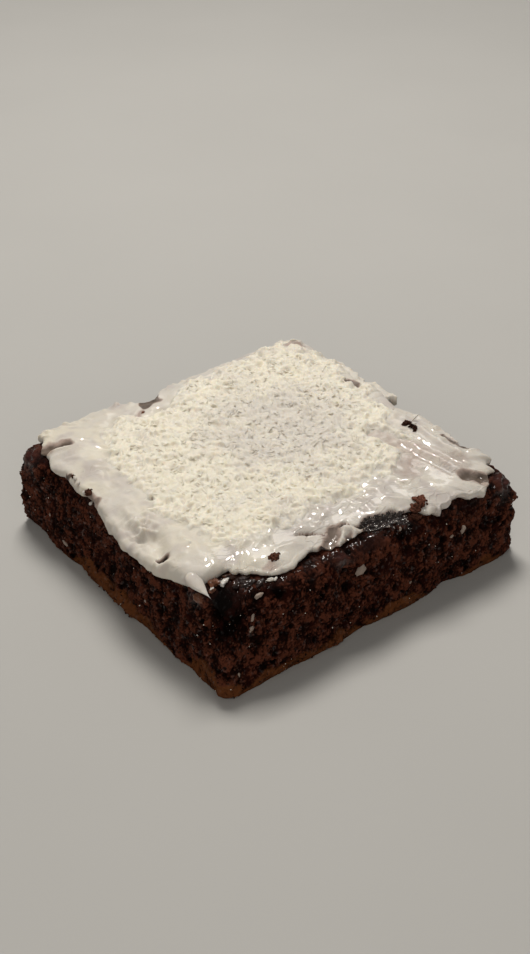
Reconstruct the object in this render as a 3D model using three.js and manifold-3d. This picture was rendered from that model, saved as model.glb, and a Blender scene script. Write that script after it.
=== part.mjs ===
// A square of dark chocolate brownie, iced on top and strewn with shredded coconut.
// Millimetres, +Z up. The origin is the middle of the flat base. The front is -Y and the left side is -X.

import * as THREE from 'three';
import { LoftGeometry } from 'three/addons/geometries/LoftGeometry.js';
import { ImprovedNoise } from 'three/addons/math/ImprovedNoise.js';
import { mergeVertices } from 'three/addons/utils/BufferGeometryUtils.js';
import Module from 'manifold-3d';

// Cake: overall size and the section of its sides
const WIDTH = 80; // along X, at its widest just above the base
const DEPTH = 79; // along Y, likewise
const HEIGHT = 20; // base to the rim of the top
const CORNER_RADII = { front: 1.2, right: 2.8, back: 3.5, left: 2.6 }; // seen from above, front is at -X -Y
const CORNER_REACH = 16; // a ring set in from the outline shrinks its corners towards points this far in
const TAPER = 1.2; // how far the top of each side stands in from its foot
const SHOULDER = 3.2; // radius where the sides turn into the top
const CROWN = 0.8; // rise of the top from rim to middle
const FOOT_INSET = 0.9; // the base's flat stops this far inside the widest outline
const FOOT_HEIGHT = 1.4; // where the sides reach the widest outline

// Cake: how finely it is faceted
const CAKE_AROUND = 124; // points in each ring
const SIDE_RINGS = 8; // from foot to shoulder
const SHOULDER_RINGS = 3; // over the shoulder
const TOP_INSETS = [9, 14]; // rings on the top, measured in from the widest outline

// Cake: relief of the torn crumb, as [size of a lump, its depth]
const CRUMB_RELIEF = [
  [13, 1.2],
  [5.3, 1.1],
  [2.3, 0.7],
];
const TOP_RELIEF = 0.35; // share of that relief on the baked top
const FOOT_RELIEF = 0.5; // share of it along the lower edge
const FOOT_LIFT = 0.7; // how far the lower edge rises and dips

// Cake: hollows broken out of the sides (+) and swellings (-), as centre, reach and depth
const HOLLOWS = [
  { at: [-38, -37, 18.5], reach: 6.5, depth: 4.2 }, // front corner crumbled off under the rim
  { at: [-27, -38, 19], reach: 2.6, depth: 1.5 }, // gap under the front skin
  { at: [-7, -39, 13.5], reach: 2.8, depth: 1.9 }, // torn pit in the front face
  { at: [19.5, -39, 0.8], reach: 3, depth: 2.6 }, // notch in the front's lower edge
  { at: [-39, 15, 2], reach: 3, depth: 1.6 }, // notch in the left side's lower edge
  { at: [39, -37, 7.4], reach: 2.2, depth: 1 }, // crease round the right corner
  { at: [39, -37, 14], reach: 5, depth: -0.6 }, // rounded swelling above it
  { at: [-39, 37, 15.5], reach: 5, depth: -1.2 }, // rounded swelling at the left corner
  { at: [38, 38, 15], reach: 5, depth: 1.6 }, // soft dent in the back corner
];

// Icing: thickness, lip and where its surface swells or thins, as centre, reach and rise
const ICING_THICKNESS = 2.1;
const CLEARANCE = 0.3; // between icing and cake
const LIP_BULGE = 0.5; // the edge stands proud of its foot by this much
const LIP_SET_BACK = 0.9; // from the edge to where the icing is at full thickness
const EMBED = 0.9; // the icing's foot runs this far below the cake's surface before it is cut
const OVERHANG_LIFT = 0.9; // an edge that runs over the rim stops this far above the shoulder's foot
const OVERHANG_BLEND = 1; // within this distance of the rim the edge changes from one to the other
const BURIED_RINGS = [0.5, 0.85]; // rings of the icing's underside, as shares of the edge
const ICING_WAVES = [
  [17, 0.55],
  [6, 0.25],
];
const SWELLS = [
  { at: [-33, 29], reach: 6, rise: 0.9 }, // thick roll at the left corner
  { at: [-36, -24], reach: 7, rise: 0.8 }, // thick lobe at the front corner
  { at: [-37, -9], reach: 3.5, rise: -0.6 }, // knife pit beside the lobe
  { at: [34, -29], reach: 5, rise: 1 }, // lump at the right corner
  { at: [24, -25], reach: 7, rise: -0.5 }, // thin smear beside that lump
  { at: [33, 36], reach: 8, rise: 0.7 }, // bank at the back corner
];

// Icing: where its edge stops short of the cake's outline (+) or runs further out (-)
const EDGE_INSET = 2.2;
const EDGE_WAVES = [
  [7, 0.9],
  [3, 0.6],
];
const EDGE_BAYS = [
  { at: [-39, -38], reach: 5.5, depth: 9 }, // bare front corner
  { at: [-30, -39], reach: 5.5, depth: 7.5 },
  { at: [-40, -31], reach: 3, depth: 1 }, // end of the lobe beside it
  { at: [-13, -39], reach: 6.5, depth: 5 },
  { at: [-3, -39], reach: 4, depth: 3 },
  { at: [3.5, -39], reach: 3.5, depth: 1.6 },
  { at: [10.5, -39], reach: 3, depth: 4 },
  { at: [22, -39], reach: 4, depth: 1.2 },
  { at: [28, -39], reach: 4, depth: -0.8 },
  { at: [39, -38], reach: 5, depth: 4.5 }, // bare right corner
  { at: [39, -25], reach: 3.5, depth: 2.6 },
  { at: [39, -3], reach: 4, depth: 2.6 },
  { at: [39, 13], reach: 3, depth: 1.6 },
  { at: [39, 31], reach: 7, depth: -1.6 },
  { at: [32, 39], reach: 12, depth: -2 },
  { at: [3, 39], reach: 9, depth: -2.4 },
  { at: [-7, 39], reach: 4.5, depth: 5.5 }, // bare crust at the back
  { at: [-20, 39], reach: 7, depth: -1.6 },
  { at: [-33, 39], reach: 4, depth: -1.4 },
  { at: [-39, 38], reach: 3.5, depth: 3.5 }, // bare left corner
  { at: [-39, 30.5], reach: 3.5, depth: 4 }, // bare streak at the left corner
  { at: [-39, 21], reach: 2.5, depth: 1.2 },
  { at: [-39, 11], reach: 3, depth: 1.2 },
  { at: [-39, -8], reach: 17, depth: -2.2 }, // runs over the left rim
];
const ICING_AROUND = 154; // points in each ring
const ICING_RINGS = [0.965, 0.91, 0.83, 0.71, 0.55, 0.35, 0.12]; // rings of the top, as shares of the edge

// Coconut: shreds lying in the icing, and a few stuck to the cut sides
const SHRED = { length: 3, width: 0.9, thickness: 0.7 };
const SHRED_SPREAD = 0.3; // sizes vary by this share either way
const SHRED_SPACING = 6.2; // between neighbours in the strewn patch
const SHRED_SHIFT = 2.5; // each is moved by up to this much from its cell's middle
const SHRED_TILT = 0.35; // radians out of level
const PATCH = { at: [2, 3], half: 31, corner: 38 }; // the strewn patch, a square with cut-off corners
const SIDE_SHREDS = 12;
const SIDE_SHRED_HEIGHTS = [0.25, 0.75]; // where they sit, as shares of the cake's height
const SHRED_SEED = 11;

// Noise: each layer is shifted from the one before, and the icing's edge has a slice of its own
const LAYER_SHIFT = [7, 3];
const EDGE_SLICE = 5;

const wasm = await Module();
wasm.setup();
const perlin = new ImprovedNoise();

// A sum of noise layers, each given as [size of a lump, its height]
function layeredNoise(layers, x, y, z) {
  return layers.reduce((sum, [size, height], i) => {
    const [across, along] = LAYER_SHIFT.map((shift) => shift * i);
    return sum + height * perlin.noise(x / size + across, y / size + along, z / size);
  }, 0);
}

// A soft spot's strength at a point: 1 at its centre, fading out past its reach
function spotStrength(spot, ...point) {
  const squared = spot.at.reduce((sum, value, axis) => sum + (point[axis] - value) ** 2, 0);
  return Math.exp(-squared / spot.reach ** 2);
}

// The cake's widest outline, as evenly spaced points with the points they shrink towards
function cakeOutline(around) {
  const { front, right, back, left } = CORNER_RADII;
  const outline = new THREE.Path();
  outline.absarc(WIDTH / 2 - right, right - DEPTH / 2, right, -Math.PI / 2, 0);
  outline.absarc(WIDTH / 2 - back, DEPTH / 2 - back, back, 0, Math.PI / 2);
  outline.absarc(left - WIDTH / 2, DEPTH / 2 - left, left, Math.PI / 2, Math.PI);
  outline.absarc(front - WIDTH / 2, front - DEPTH / 2, front, Math.PI, (3 * Math.PI) / 2);
  outline.closePath();
  const corner = new THREE.Vector2(WIDTH / 2 - CORNER_REACH, DEPTH / 2 - CORNER_REACH);
  return Array.from({ length: around }, (_, i) => {
    const point = outline.getPointAt(i / around);
    return { point, inner: point.clone().clamp(corner.clone().negate(), corner) };
  });
}

// A point of the outline moved inwards, at a given height
function insetPoint({ point, inner }, inset, height) {
  const moved = point.clone().lerp(inner, inset / CORNER_REACH);
  return new THREE.Vector3(moved.x, moved.y, height);
}

// Height of the cake's top, a given distance in from its widest outline
function topHeight(inset) {
  const past = inset - TAPER;
  if (past <= 0) return HEIGHT - SHOULDER;
  if (past < SHOULDER) return HEIGHT - SHOULDER + Math.sqrt(SHOULDER ** 2 - (SHOULDER - past) ** 2);
  return HEIGHT + CROWN * THREE.MathUtils.smoothstep(past, SHOULDER, WIDTH / 2);
}

// Height of the cake's top under a place of the icing
function topHeightAt(x, y) {
  return topHeight(Math.min(WIDTH / 2 - Math.abs(x), DEPTH / 2 - Math.abs(y)));
}

// The cake's section from its base to the middle of its top: inset, height, share of the crumb relief
function cakeSection() {
  const section = [
    { inset: FOOT_INSET, height: 0, relief: FOOT_RELIEF },
    { inset: FOOT_INSET / 4, height: FOOT_HEIGHT / 4, relief: FOOT_RELIEF },
  ];
  for (let i = 0; i < SIDE_RINGS; i++) {
    const share = i / SIDE_RINGS;
    const height = THREE.MathUtils.lerp(FOOT_HEIGHT, HEIGHT - SHOULDER, share);
    section.push({ inset: TAPER * share, height, relief: 1 });
  }
  for (let i = 0; i <= SHOULDER_RINGS; i++) {
    const inset = TAPER + SHOULDER * (1 - Math.cos((i / SHOULDER_RINGS) * (Math.PI / 2)));
    const relief = THREE.MathUtils.lerp(1, TOP_RELIEF, i / SHOULDER_RINGS);
    section.push({ inset, height: topHeight(inset), relief });
  }
  for (const inset of TOP_INSETS) section.push({ inset, height: topHeight(inset), relief: TOP_RELIEF });
  return section;
}

// A point of the cake's surface, with its crumb relief and hollows, grown outwards by a clearance
function cakePoint(place, { inset, height, relief }, grow = 0) {
  const flat = insetPoint(place, inset, height);
  const rough = layeredNoise(CRUMB_RELIEF, flat.x, flat.y, flat.z);
  const broken = HOLLOWS.reduce((sum, spot) => sum + spot.depth * spotStrength(spot, ...flat), 0);
  const isTop = height >= HEIGHT;
  const isFoot = height > 0 && height < FOOT_HEIGHT;
  const outwards = relief * (rough - broken) + (isTop ? 0 : grow);
  const upwards = (isTop ? relief * rough : 0) + (isFoot ? FOOT_LIFT * Math.abs(rough) : 0);
  const overShoulder = height >= HEIGHT - SHOULDER ? grow : 0;
  return insetPoint(place, inset - outwards, height + upwards + overShoulder);
}

// The cake as a loft of rings, closed by its flat base and its top
function cakeGeometry(outline, grow) {
  const rings = cakeSection().map((step) => outline.map((place) => cakePoint(place, step, grow)));
  return new LoftGeometry(rings, { capStart: true, capEnd: true });
}

// Height of the icing's surface over a point well inside the rim
function icingThickness(x, y) {
  const swell = SWELLS.reduce((sum, spot) => sum + spot.rise * spotStrength(spot, x, y), 0);
  return ICING_THICKNESS + swell + layeredNoise(ICING_WAVES, x, y, 0);
}

// How far the icing's edge lies inside the cake's outline, at one place of that outline
function edgeInset({ point }) {
  const bays = EDGE_BAYS.reduce((sum, bay) => sum + bay.depth * spotStrength(bay, point.x, point.y), 0);
  return EDGE_INSET + bays + layeredNoise(EDGE_WAVES, point.x, point.y, EDGE_SLICE);
}

// The icing before the cake is cut out of it: a foot inside the cake, a bulging lip and a wavy top
function icingGeometry(outline) {
  const edges = outline.map((place) => {
    const inset = edgeInset(place);
    const rim = insetPoint(place, inset, 0);
    const inside = THREE.MathUtils.smoothstep(inset, TAPER - OVERHANG_BLEND, TAPER + OVERHANG_BLEND);
    const foot = topHeight(inset) + THREE.MathUtils.lerp(OVERHANG_LIFT, -EMBED, inside);
    const crest = topHeight(inset + 2 * LIP_SET_BACK) + icingThickness(rim.x, rim.y);
    return { place, inset, rim, foot, crest };
  });
  const lipRing = (move, heightOf) =>
    edges.map((edge) => insetPoint(edge.place, edge.inset + move, heightOf(edge)));
  const shareRing = (share, heightOf) =>
    edges.map(({ rim }) => {
      const [x, y] = [rim.x * share, rim.y * share];
      return new THREE.Vector3(x, y, heightOf(x, y));
    });
  const rings = [
    ...BURIED_RINGS.map((share) => shareRing(share, () => HEIGHT - SHOULDER - 2 * EMBED * (1 - share))),
    lipRing(0, ({ foot }) => foot),
    lipRing(-LIP_BULGE, ({ foot, crest }) => THREE.MathUtils.lerp(foot, crest, 0.5)),
    lipRing(LIP_SET_BACK / 3, ({ crest }) => crest - LIP_SET_BACK / 3),
    ...ICING_RINGS.map((share) => shareRing(share, (x, y) => topHeightAt(x, y) + icingThickness(x, y))),
  ];
  return new LoftGeometry(rings, { capStart: true, capEnd: true });
}

// One coconut shred: a slip of its own size, laid at a place with its own turn and tilt
function shredGeometry(place, turn, tilt, size) {
  const slip = new THREE.BoxGeometry(SHRED.length * size, SHRED.width * size, SHRED.thickness * size);
  slip.rotateY(tilt);
  slip.rotateZ(turn);
  slip.translate(place.x, place.y, place.z);
  return slip;
}

// A seeded draw from one value to another
function draw(from, to) {
  return THREE.MathUtils.lerp(from, to, THREE.MathUtils.seededRandom());
}

// Shreds strewn over the patch on the icing, one to a cell of a grid and shifted about in it
function strewnShreds() {
  const shreds = [];
  const reach = PATCH.half - SHRED_SPACING / 2;
  for (let across = -reach; across <= reach; across += SHRED_SPACING) {
    for (let along = -reach; along <= reach; along += SHRED_SPACING) {
      const x = PATCH.at[0] + across + draw(-SHRED_SHIFT, SHRED_SHIFT);
      const y = PATCH.at[1] + along + draw(-SHRED_SHIFT, SHRED_SHIFT);
      const size = 1 + draw(-SHRED_SPREAD, SHRED_SPREAD);
      const turn = draw(0, Math.PI);
      const tilt = draw(-SHRED_TILT, SHRED_TILT);
      if (Math.hypot(across, along) > PATCH.corner) continue;
      const place = new THREE.Vector3(x, y, topHeightAt(x, y) + icingThickness(x, y));
      shreds.push(shredGeometry(place, turn, tilt, size));
    }
  }
  return shreds;
}

// Shreds stuck to the front and left sides, spread evenly along them
function sideShreds(outline) {
  const places = outline.filter(({ point, inner }) => point.x < inner.x || point.y < inner.y);
  return Array.from({ length: SIDE_SHREDS }, (_, i) => {
    const place = places[Math.floor(((i + draw(0, 1)) / SIDE_SHREDS) * places.length)];
    const share = draw(...SIDE_SHRED_HEIGHTS);
    const surface = cakePoint(place, { inset: TAPER * share, height: HEIGHT * share, relief: 1 });
    const depth = place.inner.clone().sub(place.point);
    const turn = Math.abs(depth.y) > Math.abs(depth.x) ? 0 : Math.PI / 2;
    return shredGeometry(surface, turn, draw(0, Math.PI), 1 - draw(0, SHRED_SPREAD));
  });
}

// A closed geometry as a solid that can be joined and cut
function solidFrom(geometry) {
  const bare = new THREE.BufferGeometry();
  bare.setAttribute('position', geometry.getAttribute('position'));
  bare.setIndex(geometry.getIndex());
  const merged = mergeVertices(bare);
  return new wasm.Manifold(
    new wasm.Mesh({
      numProp: 3,
      vertProperties: merged.attributes.position.array,
      triVerts: new Uint32Array(merged.index.array),
    }),
  );
}

// A solid back as a geometry with flat-shaded normals
function geometryFrom(solid) {
  const { vertProperties, triVerts } = solid.getMesh();
  const geometry = new THREE.BufferGeometry();
  geometry.setAttribute('position', new THREE.BufferAttribute(vertProperties, 3));
  geometry.setIndex(new THREE.BufferAttribute(triVerts, 1));
  geometry.computeVertexNormals();
  return geometry;
}

// The largest body of a solid, so that no loose scrap of a cut is kept
function largestBody(solid) {
  return solid.decompose().reduce((best, body) => (body.volume() > best.volume() ? body : best));
}

// A solid with small pieces fused to it
function withPieces(solid, pieces) {
  return largestBody(pieces.reduce((joined, piece) => joined.add(solidFrom(piece)), solid));
}

function namedMesh(name, solid, material) {
  const mesh = new THREE.Mesh(geometryFrom(solid), material);
  mesh.name = name;
  return mesh;
}

THREE.MathUtils.seededRandom(SHRED_SEED);
const outline = cakeOutline(CAKE_AROUND);
const bareCake = solidFrom(cakeGeometry(outline));
const hollow = solidFrom(cakeGeometry(outline, CLEARANCE));
const bareIcing = solidFrom(icingGeometry(cakeOutline(ICING_AROUND))).subtract(hollow);
const cake = withPieces(bareCake, sideShreds(outline));
const icing = withPieces(largestBody(bareIcing), strewnShreds());

const crumbMaterial = new THREE.MeshStandardMaterial({ color: 0x3a2016, roughness: 0.75, metalness: 0 });
const icingMaterial = new THREE.MeshStandardMaterial({ color: 0xece3d0, roughness: 0.4, metalness: 0 });

const brownie = new THREE.Group();
brownie.name = 'brownie';
brownie.add(namedMesh('cake', cake, crumbMaterial), namedMesh('icing', icing, icingMaterial));

export default brownie;
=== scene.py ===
"""An iced brownie square, dressed for the camera.

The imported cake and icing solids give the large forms: rays cast at them place each fine surface. Crumb, icing
relief, coconut, loose crumbs and the wet film are then modelled on top. Lengths are millimetres until a mesh
is made, and metres from there on and in the studio.
"""

import logging
import math
from dataclasses import dataclass
from enum import Enum
from typing import Optional, Union

import bmesh
import bpy
import numpy as np
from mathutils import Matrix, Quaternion, Vector, noise
from mathutils.bvhtree import BVHTree


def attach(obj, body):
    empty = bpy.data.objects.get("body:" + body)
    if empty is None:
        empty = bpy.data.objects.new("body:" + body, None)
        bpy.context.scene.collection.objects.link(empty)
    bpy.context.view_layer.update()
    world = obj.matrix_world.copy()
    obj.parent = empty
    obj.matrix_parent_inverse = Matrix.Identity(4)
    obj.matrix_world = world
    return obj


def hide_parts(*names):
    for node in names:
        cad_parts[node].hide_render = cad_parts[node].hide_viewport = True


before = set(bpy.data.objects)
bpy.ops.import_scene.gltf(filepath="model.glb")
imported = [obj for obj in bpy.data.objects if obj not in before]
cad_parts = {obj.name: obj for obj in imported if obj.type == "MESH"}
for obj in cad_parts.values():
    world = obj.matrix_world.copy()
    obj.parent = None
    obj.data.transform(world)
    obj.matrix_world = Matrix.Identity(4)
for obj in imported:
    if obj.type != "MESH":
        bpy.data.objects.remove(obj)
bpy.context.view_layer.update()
BODY = "root"
# Metres in a millimetre, and how many millimetres off a ray from outside starts.
MM = 0.001
FAR = 60.0
LOG = logging.getLogger("brownie")

Array = np.ndarray
Material = bpy.types.Material
Object = bpy.types.Object
Draws = np.random.Generator
Pair = tuple[float, float]
Triple = tuple[float, float, float]
Colour = Triple
Operand = Union["Wire", float, Colour]
Settings = dict[str, object]
Sockets = dict[Union[str, int], Operand]


class Slot(Enum):
    """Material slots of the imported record."""

    CRUMB = "crumb"
    ICING = "icing"


class Light(Enum):
    """What a studio light is for."""

    SHADE = "soft shading"
    SHINE = "reflections in wet places"


class Mark(Enum):
    """Values stored on the points of a mesh for its finish to read."""

    # Relief from low to high: the crumb's finish paints shade in its low places and light on its crests, and
    # the coconut's finish paints shade in its gaps.
    RELIEF = "relief"
    TINT = "tint"
    SKIN = "skin"
    CRUST = "crust"
    BED = "bed"
    THIN = "thin"
    WET = "wet"


def seen(red: int, green: int, blue: int) -> Colour:
    """Turns a colour as the eye names it, 0 to 255, into linear light."""
    shares = [part / 255 for part in (red, green, blue)]
    return tuple(s / 12.92 if s <= 0.04045 else ((s + 0.055) / 1.055) ** 2.4 for s in shares)


def smoothstep(low: float, high: float, values: Array) -> Array:
    """Rises smoothly from 0 at low to 1 at high, or falls where low is above high."""
    share = np.clip((values - low) / (high - low), 0.0, 1.0)
    return share * share * (3.0 - 2.0 * share)


def lumps(points: Array, size: float, shift: float = 0.0) -> Array:
    """Soft noise of about -0.7 to 0.7 over points, with lumps of one size. A shift moves its pattern."""
    return np.array([noise.noise(point) for point in (points / size + shift).tolist()])


def grains(points: Array, size: float, shift: float = 0.0) -> tuple[Array, Array, Array]:
    """Packed grains over points.

    Args:
        points: Points, one to a row, in millimetres.
        size: Mean size of a grain.
        shift: Moves the pattern, so that two layers differ.

    Returns:
        Distance from the grain's middle, nearness to a crack between grains, and one draw for each grain.
    """
    found = [noise.voronoi(point) for point in (points / size + shift).tolist()]
    spans = np.array([distances[:2] for distances, _ in found])
    middles = np.array([places[0] for _, places in found])
    scramble, stretch, crack_width = np.array([12.99, 78.23, 37.72]), 437.58, 0.12
    draws = np.modf(np.abs(np.sin(middles @ scramble) * stretch))[0]
    cracks = np.exp(-(((spans[:, 1] - spans[:, 0]) / crack_width) ** 2))
    return spans[:, 0], cracks, draws


def blurred(grid: Array, sigma: float, axis: int, wrap: bool) -> Array:
    """Blurs a grid along one axis.

    Args:
        grid: Values to blur.
        sigma: Width of the blur, in cells.
        axis: Axis to blur along.
        wrap: Whether the axis closes on itself.

    Returns:
        The blurred grid.
    """
    reach = math.ceil(3 * sigma)
    offsets = np.arange(-reach, reach + 1)
    weights = np.exp(-0.5 * (offsets / sigma) ** 2)
    margins = [(reach, reach) if a == axis else (0, 0) for a in range(grid.ndim)]
    padded = np.pad(grid, margins, mode="wrap" if wrap else "edge")
    cells = np.arange(grid.shape[axis]) + reach
    total = sum(w * np.take(padded, cells + o, axis=axis) for o, w in zip(offsets, weights))
    return total / weights.sum()


def lifted(flat: Array, level: float = 0.0) -> Array:
    """Points over places, one to a row, all at one level."""
    return np.column_stack([flat, np.full(len(flat), level)])


def span_from(flat: Array, place: Pair) -> Array:
    """Distance of places, one to a row, from one place."""
    return np.hypot(flat[:, 0] - place[0], flat[:, 1] - place[1])


def turned(points: Array, turn: float) -> Array:
    """Turns points about the third axis.

    Args:
        points: Points, one to a row.
        turn: The angle, in radians.

    Returns:
        The turned points.
    """
    across = points[:, 0] * math.cos(turn) - points[:, 1] * math.sin(turn)
    along = points[:, 0] * math.sin(turn) + points[:, 1] * math.cos(turn)
    return np.column_stack([across, along, points[:, 2]])


@dataclass(frozen=True)
class Fade:
    """A smooth change from 0 at one value to 1 at another."""

    low: float
    high: float

    def at(self, values: Array) -> Array:
        """The share at values."""
        return smoothstep(self.low, self.high, values)


@dataclass(frozen=True)
class Ripple:
    """A layer of soft relief: its depth, the size of its lumps, and a shift that sets its pattern apart."""

    depth: float
    size: float
    shift: float = 0.0

    def at(self, points: Array) -> Array:
        """The relief at points."""
        return self.depth * lumps(points, self.size, self.shift)


class Wire:
    """An output socket that takes part in Python arithmetic."""

    def __init__(self, desk: "Desk", socket: bpy.types.NodeSocket) -> None:
        """Keeps the socket and the desk it lies on."""
        self.desk = desk
        self.socket = socket

    def _join(self, operation: str, left: Operand, right: Operand) -> "Wire":
        """Adds the node of one operation: Math on values, Vector Math on vectors, Mix on colours.

        Args:
            operation: Name that the three nodes share, such as ADD.
            left: First operand.
            right: Second operand.

        Returns:
            The result.
        """
        kinds = {operand.socket.type for operand in (left, right) if isinstance(operand, Wire)}
        if "RGBA" in kinds:
            settings = {"data_type": "RGBA", "blend_type": operation}
            return self.desk.take(2, "ShaderNodeMix", settings, {0: 1.0, 6: left, 7: right})
        kind = "ShaderNodeVectorMath" if "VECTOR" in kinds else "ShaderNodeMath"
        return self.desk.take(0, kind, {"operation": operation}, {0: left, 1: right})

    def __add__(self, other: Operand) -> "Wire":
        """Sum."""
        return self._join("ADD", self, other)

    def __radd__(self, other: Operand) -> "Wire":
        """Sum, reflected."""
        return self._join("ADD", other, self)

    def __sub__(self, other: Operand) -> "Wire":
        """Difference."""
        return self._join("SUBTRACT", self, other)

    def __rsub__(self, other: Operand) -> "Wire":
        """Difference, reflected."""
        return self._join("SUBTRACT", other, self)

    def __mul__(self, other: Operand) -> "Wire":
        """Product."""
        return self._join("MULTIPLY", self, other)

    def __rmul__(self, other: Operand) -> "Wire":
        """Product, reflected."""
        return self._join("MULTIPLY", other, self)

    def __abs__(self) -> "Wire":
        """Size without its sign."""
        return self.desk.take(0, "ShaderNodeMath", {"operation": "ABSOLUTE"}, {0: self})

    def ramp(self, low: float, high: float) -> "Wire":
        """Rises smoothly from 0 where the value is low to 1 where it is high."""
        sockets = {"Value": self, "From Min": low, "From Max": high}
        return self.desk.take(0, "ShaderNodeMapRange", {"interpolation_type": "SMOOTHSTEP"}, sockets)

    def blend(self, low: Operand, high: Operand) -> "Wire":
        """Goes from one colour to another as this value goes from 0 to 1."""
        settings = {"data_type": "RGBA", "blend_type": "MIX"}
        return self.desk.take(2, "ShaderNodeMix", settings, {0: self, 6: low, 7: high})


class Desk:
    """The node tree of one material."""

    def __init__(self, name: str) -> None:
        """Starts an empty material.

        Args:
            name: Name of the material.
        """
        self.material = bpy.data.materials.new(name)
        self.material.use_nodes = True
        self.tree = self.material.node_tree
        self.tree.nodes.clear()
        self.places = self.take("Object", "ShaderNodeTexCoord")

    def add(
        self, kind: str, settings: Optional[Settings] = None, sockets: Optional[Sockets] = None
    ) -> bpy.types.Node:
        """Adds a node.

        Args:
            kind: The node's type.
            settings: Its own settings, set first.
            sockets: Values or wires of its inputs, by name or number.

        Returns:
            The node.
        """
        node = self.tree.nodes.new(kind)
        for name, value in (settings or {}).items():
            setattr(node, name, value)
        for key, value in (sockets or {}).items():
            if isinstance(value, Wire):
                self.tree.links.new(value.socket, node.inputs[key])
            elif isinstance(value, tuple) and node.inputs[key].type == "RGBA":
                node.inputs[key].default_value = (*value, 1.0)
            else:
                node.inputs[key].default_value = value
        return node

    def take(self, output: Union[str, int], *node: object) -> Wire:
        """Adds a node, given as add takes it, and hands over one of its outputs."""
        return Wire(self, self.add(*node).outputs[output])

    def mark(self, mark: Mark) -> Wire:
        """Reads a value stored on the mesh."""
        return self.take("Fac", "ShaderNodeAttribute", {"attribute_name": mark.value})

    def cloud(self, size: float, detail: float = 2.0, stretch: Colour = (1.0, 1.0, 1.0)) -> Wire:
        """Noise over the surface.

        Args:
            size: Size of a lump, in millimetres.
            detail: Finer layers on top.
            stretch: How much shorter the lumps are along each axis.

        Returns:
            Values of about 0.2 to 0.8.
        """
        sockets = {"Vector": self.places * stretch, "Scale": 1 / (size * MM), "Detail": detail}
        return self.take(0, "ShaderNodeTexNoise", None, sockets)

    def pebbles(self, size: float) -> Wire:
        """Distance to the nearest of scattered centres, as a share of their spacing in millimetres."""
        sockets = {"Vector": self.places, "Scale": 1 / (size * MM)}
        return self.take("Distance", "ShaderNodeTexVoronoi", None, sockets)

    def bump(self, height: Wire, depth: float) -> Wire:
        """Surface direction of relief too fine for the mesh, from its height and its depth in millimetres."""
        sockets = {"Strength": 1.0, "Distance": depth * MM, "Height": height}
        return self.take(0, "ShaderNodeBump", None, sockets)

    def close(self, **sockets: Operand) -> Material:
        """Ends the tree in a shader.

        Args:
            **sockets: Inputs of the shader, with underscores for blanks.

        Returns:
            The finished material.
        """
        named = {name.replace("_", " "): value for name, value in sockets.items()}
        shader = self.add("ShaderNodeBsdfPrincipled", None, named)
        self.add("ShaderNodeOutputMaterial", None, {"Surface": Wire(self, shader.outputs[0])})
        return self.material


@dataclass(frozen=True)
class CrumbFinish:
    """Moist dark chocolate crumb with golden skin at its foot, shiny crust and syrup at its top, painted shade
    in its pits and painted light on its crests.
    """

    name: str = "chocolate_crumb"
    # Near black painted shade for the crumb's pores, pits and hollows.
    painted_pit_shade: Colour = seen(6, 2, 1)
    crumb: Colour = seen(31, 12, 7)
    # Light brown of raised crumb: partly the grains' own colour, partly painted light on their crests.
    crest: Colour = seen(89, 48, 34)
    red: Colour = seen(40, 14, 9)
    golden: Colour = seen(98, 57, 32)
    crust: Colour = seen(30, 13, 9)
    syrup: Colour = seen(58, 27, 21)

    def material(self) -> Material:
        """Makes the material.

        Returns:
            The finished material.
        """
        desk = Desk(self.name)
        relief = desk.mark(Mark.RELIEF)
        tint = desk.mark(Mark.TINT)
        skin = desk.mark(Mark.SKIN)
        crust = desk.mark(Mark.CRUST)
        mottle = desk.cloud(4.0, 3.0)
        fleck = desk.cloud(0.45, 3.0)
        # Low relief takes the pit colour, a painted shade.
        body = (relief * 0.8 + fleck * 0.5).ramp(0.35, 0.85).blend(self.painted_pit_shade, self.crumb)
        body = (mottle.ramp(0.5, 0.68) * 0.8).blend(body, self.red)
        # High relief and fleck take the light brown: grain colour and painted light on crests.
        body = (relief * 0.7 + tint * 0.12 + fleck * 0.7).ramp(0.78, 1.12).blend(body, self.crest)
        body = (skin * (relief * 0.5 + fleck * 0.6 + mottle * 0.6)).ramp(0.45, 1.0).blend(body, self.golden)
        # The crust colour is held back in low places, so that they keep the painted pit shade.
        colour = (crust * relief.ramp(0.0, 0.4) * 0.8).blend(body, self.crust)
        glaze = desk.mark(Mark.WET)
        colour = (glaze * (mottle + 0.3)).ramp(0.1, 0.9).blend(colour, self.syrup)
        wet = desk.cloud(0.9, 1.0).ramp(0.6, 0.68)
        roughness = 0.75 - wet * 0.2 - crust * 0.2 - glaze * 0.2
        coat = wet * 0.5 + crust * 0.25 + glaze
        height = desk.cloud(0.25, 2.0) * 0.6 + desk.pebbles(0.4) * 0.4
        return desk.close(
            Base_Color=colour,
            Roughness=roughness,
            Coat_Weight=coat,
            Coat_Roughness=0.12,
            Specular_IOR_Level=0.03,
            Normal=desk.bump(height, 0.16),
        )


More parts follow.
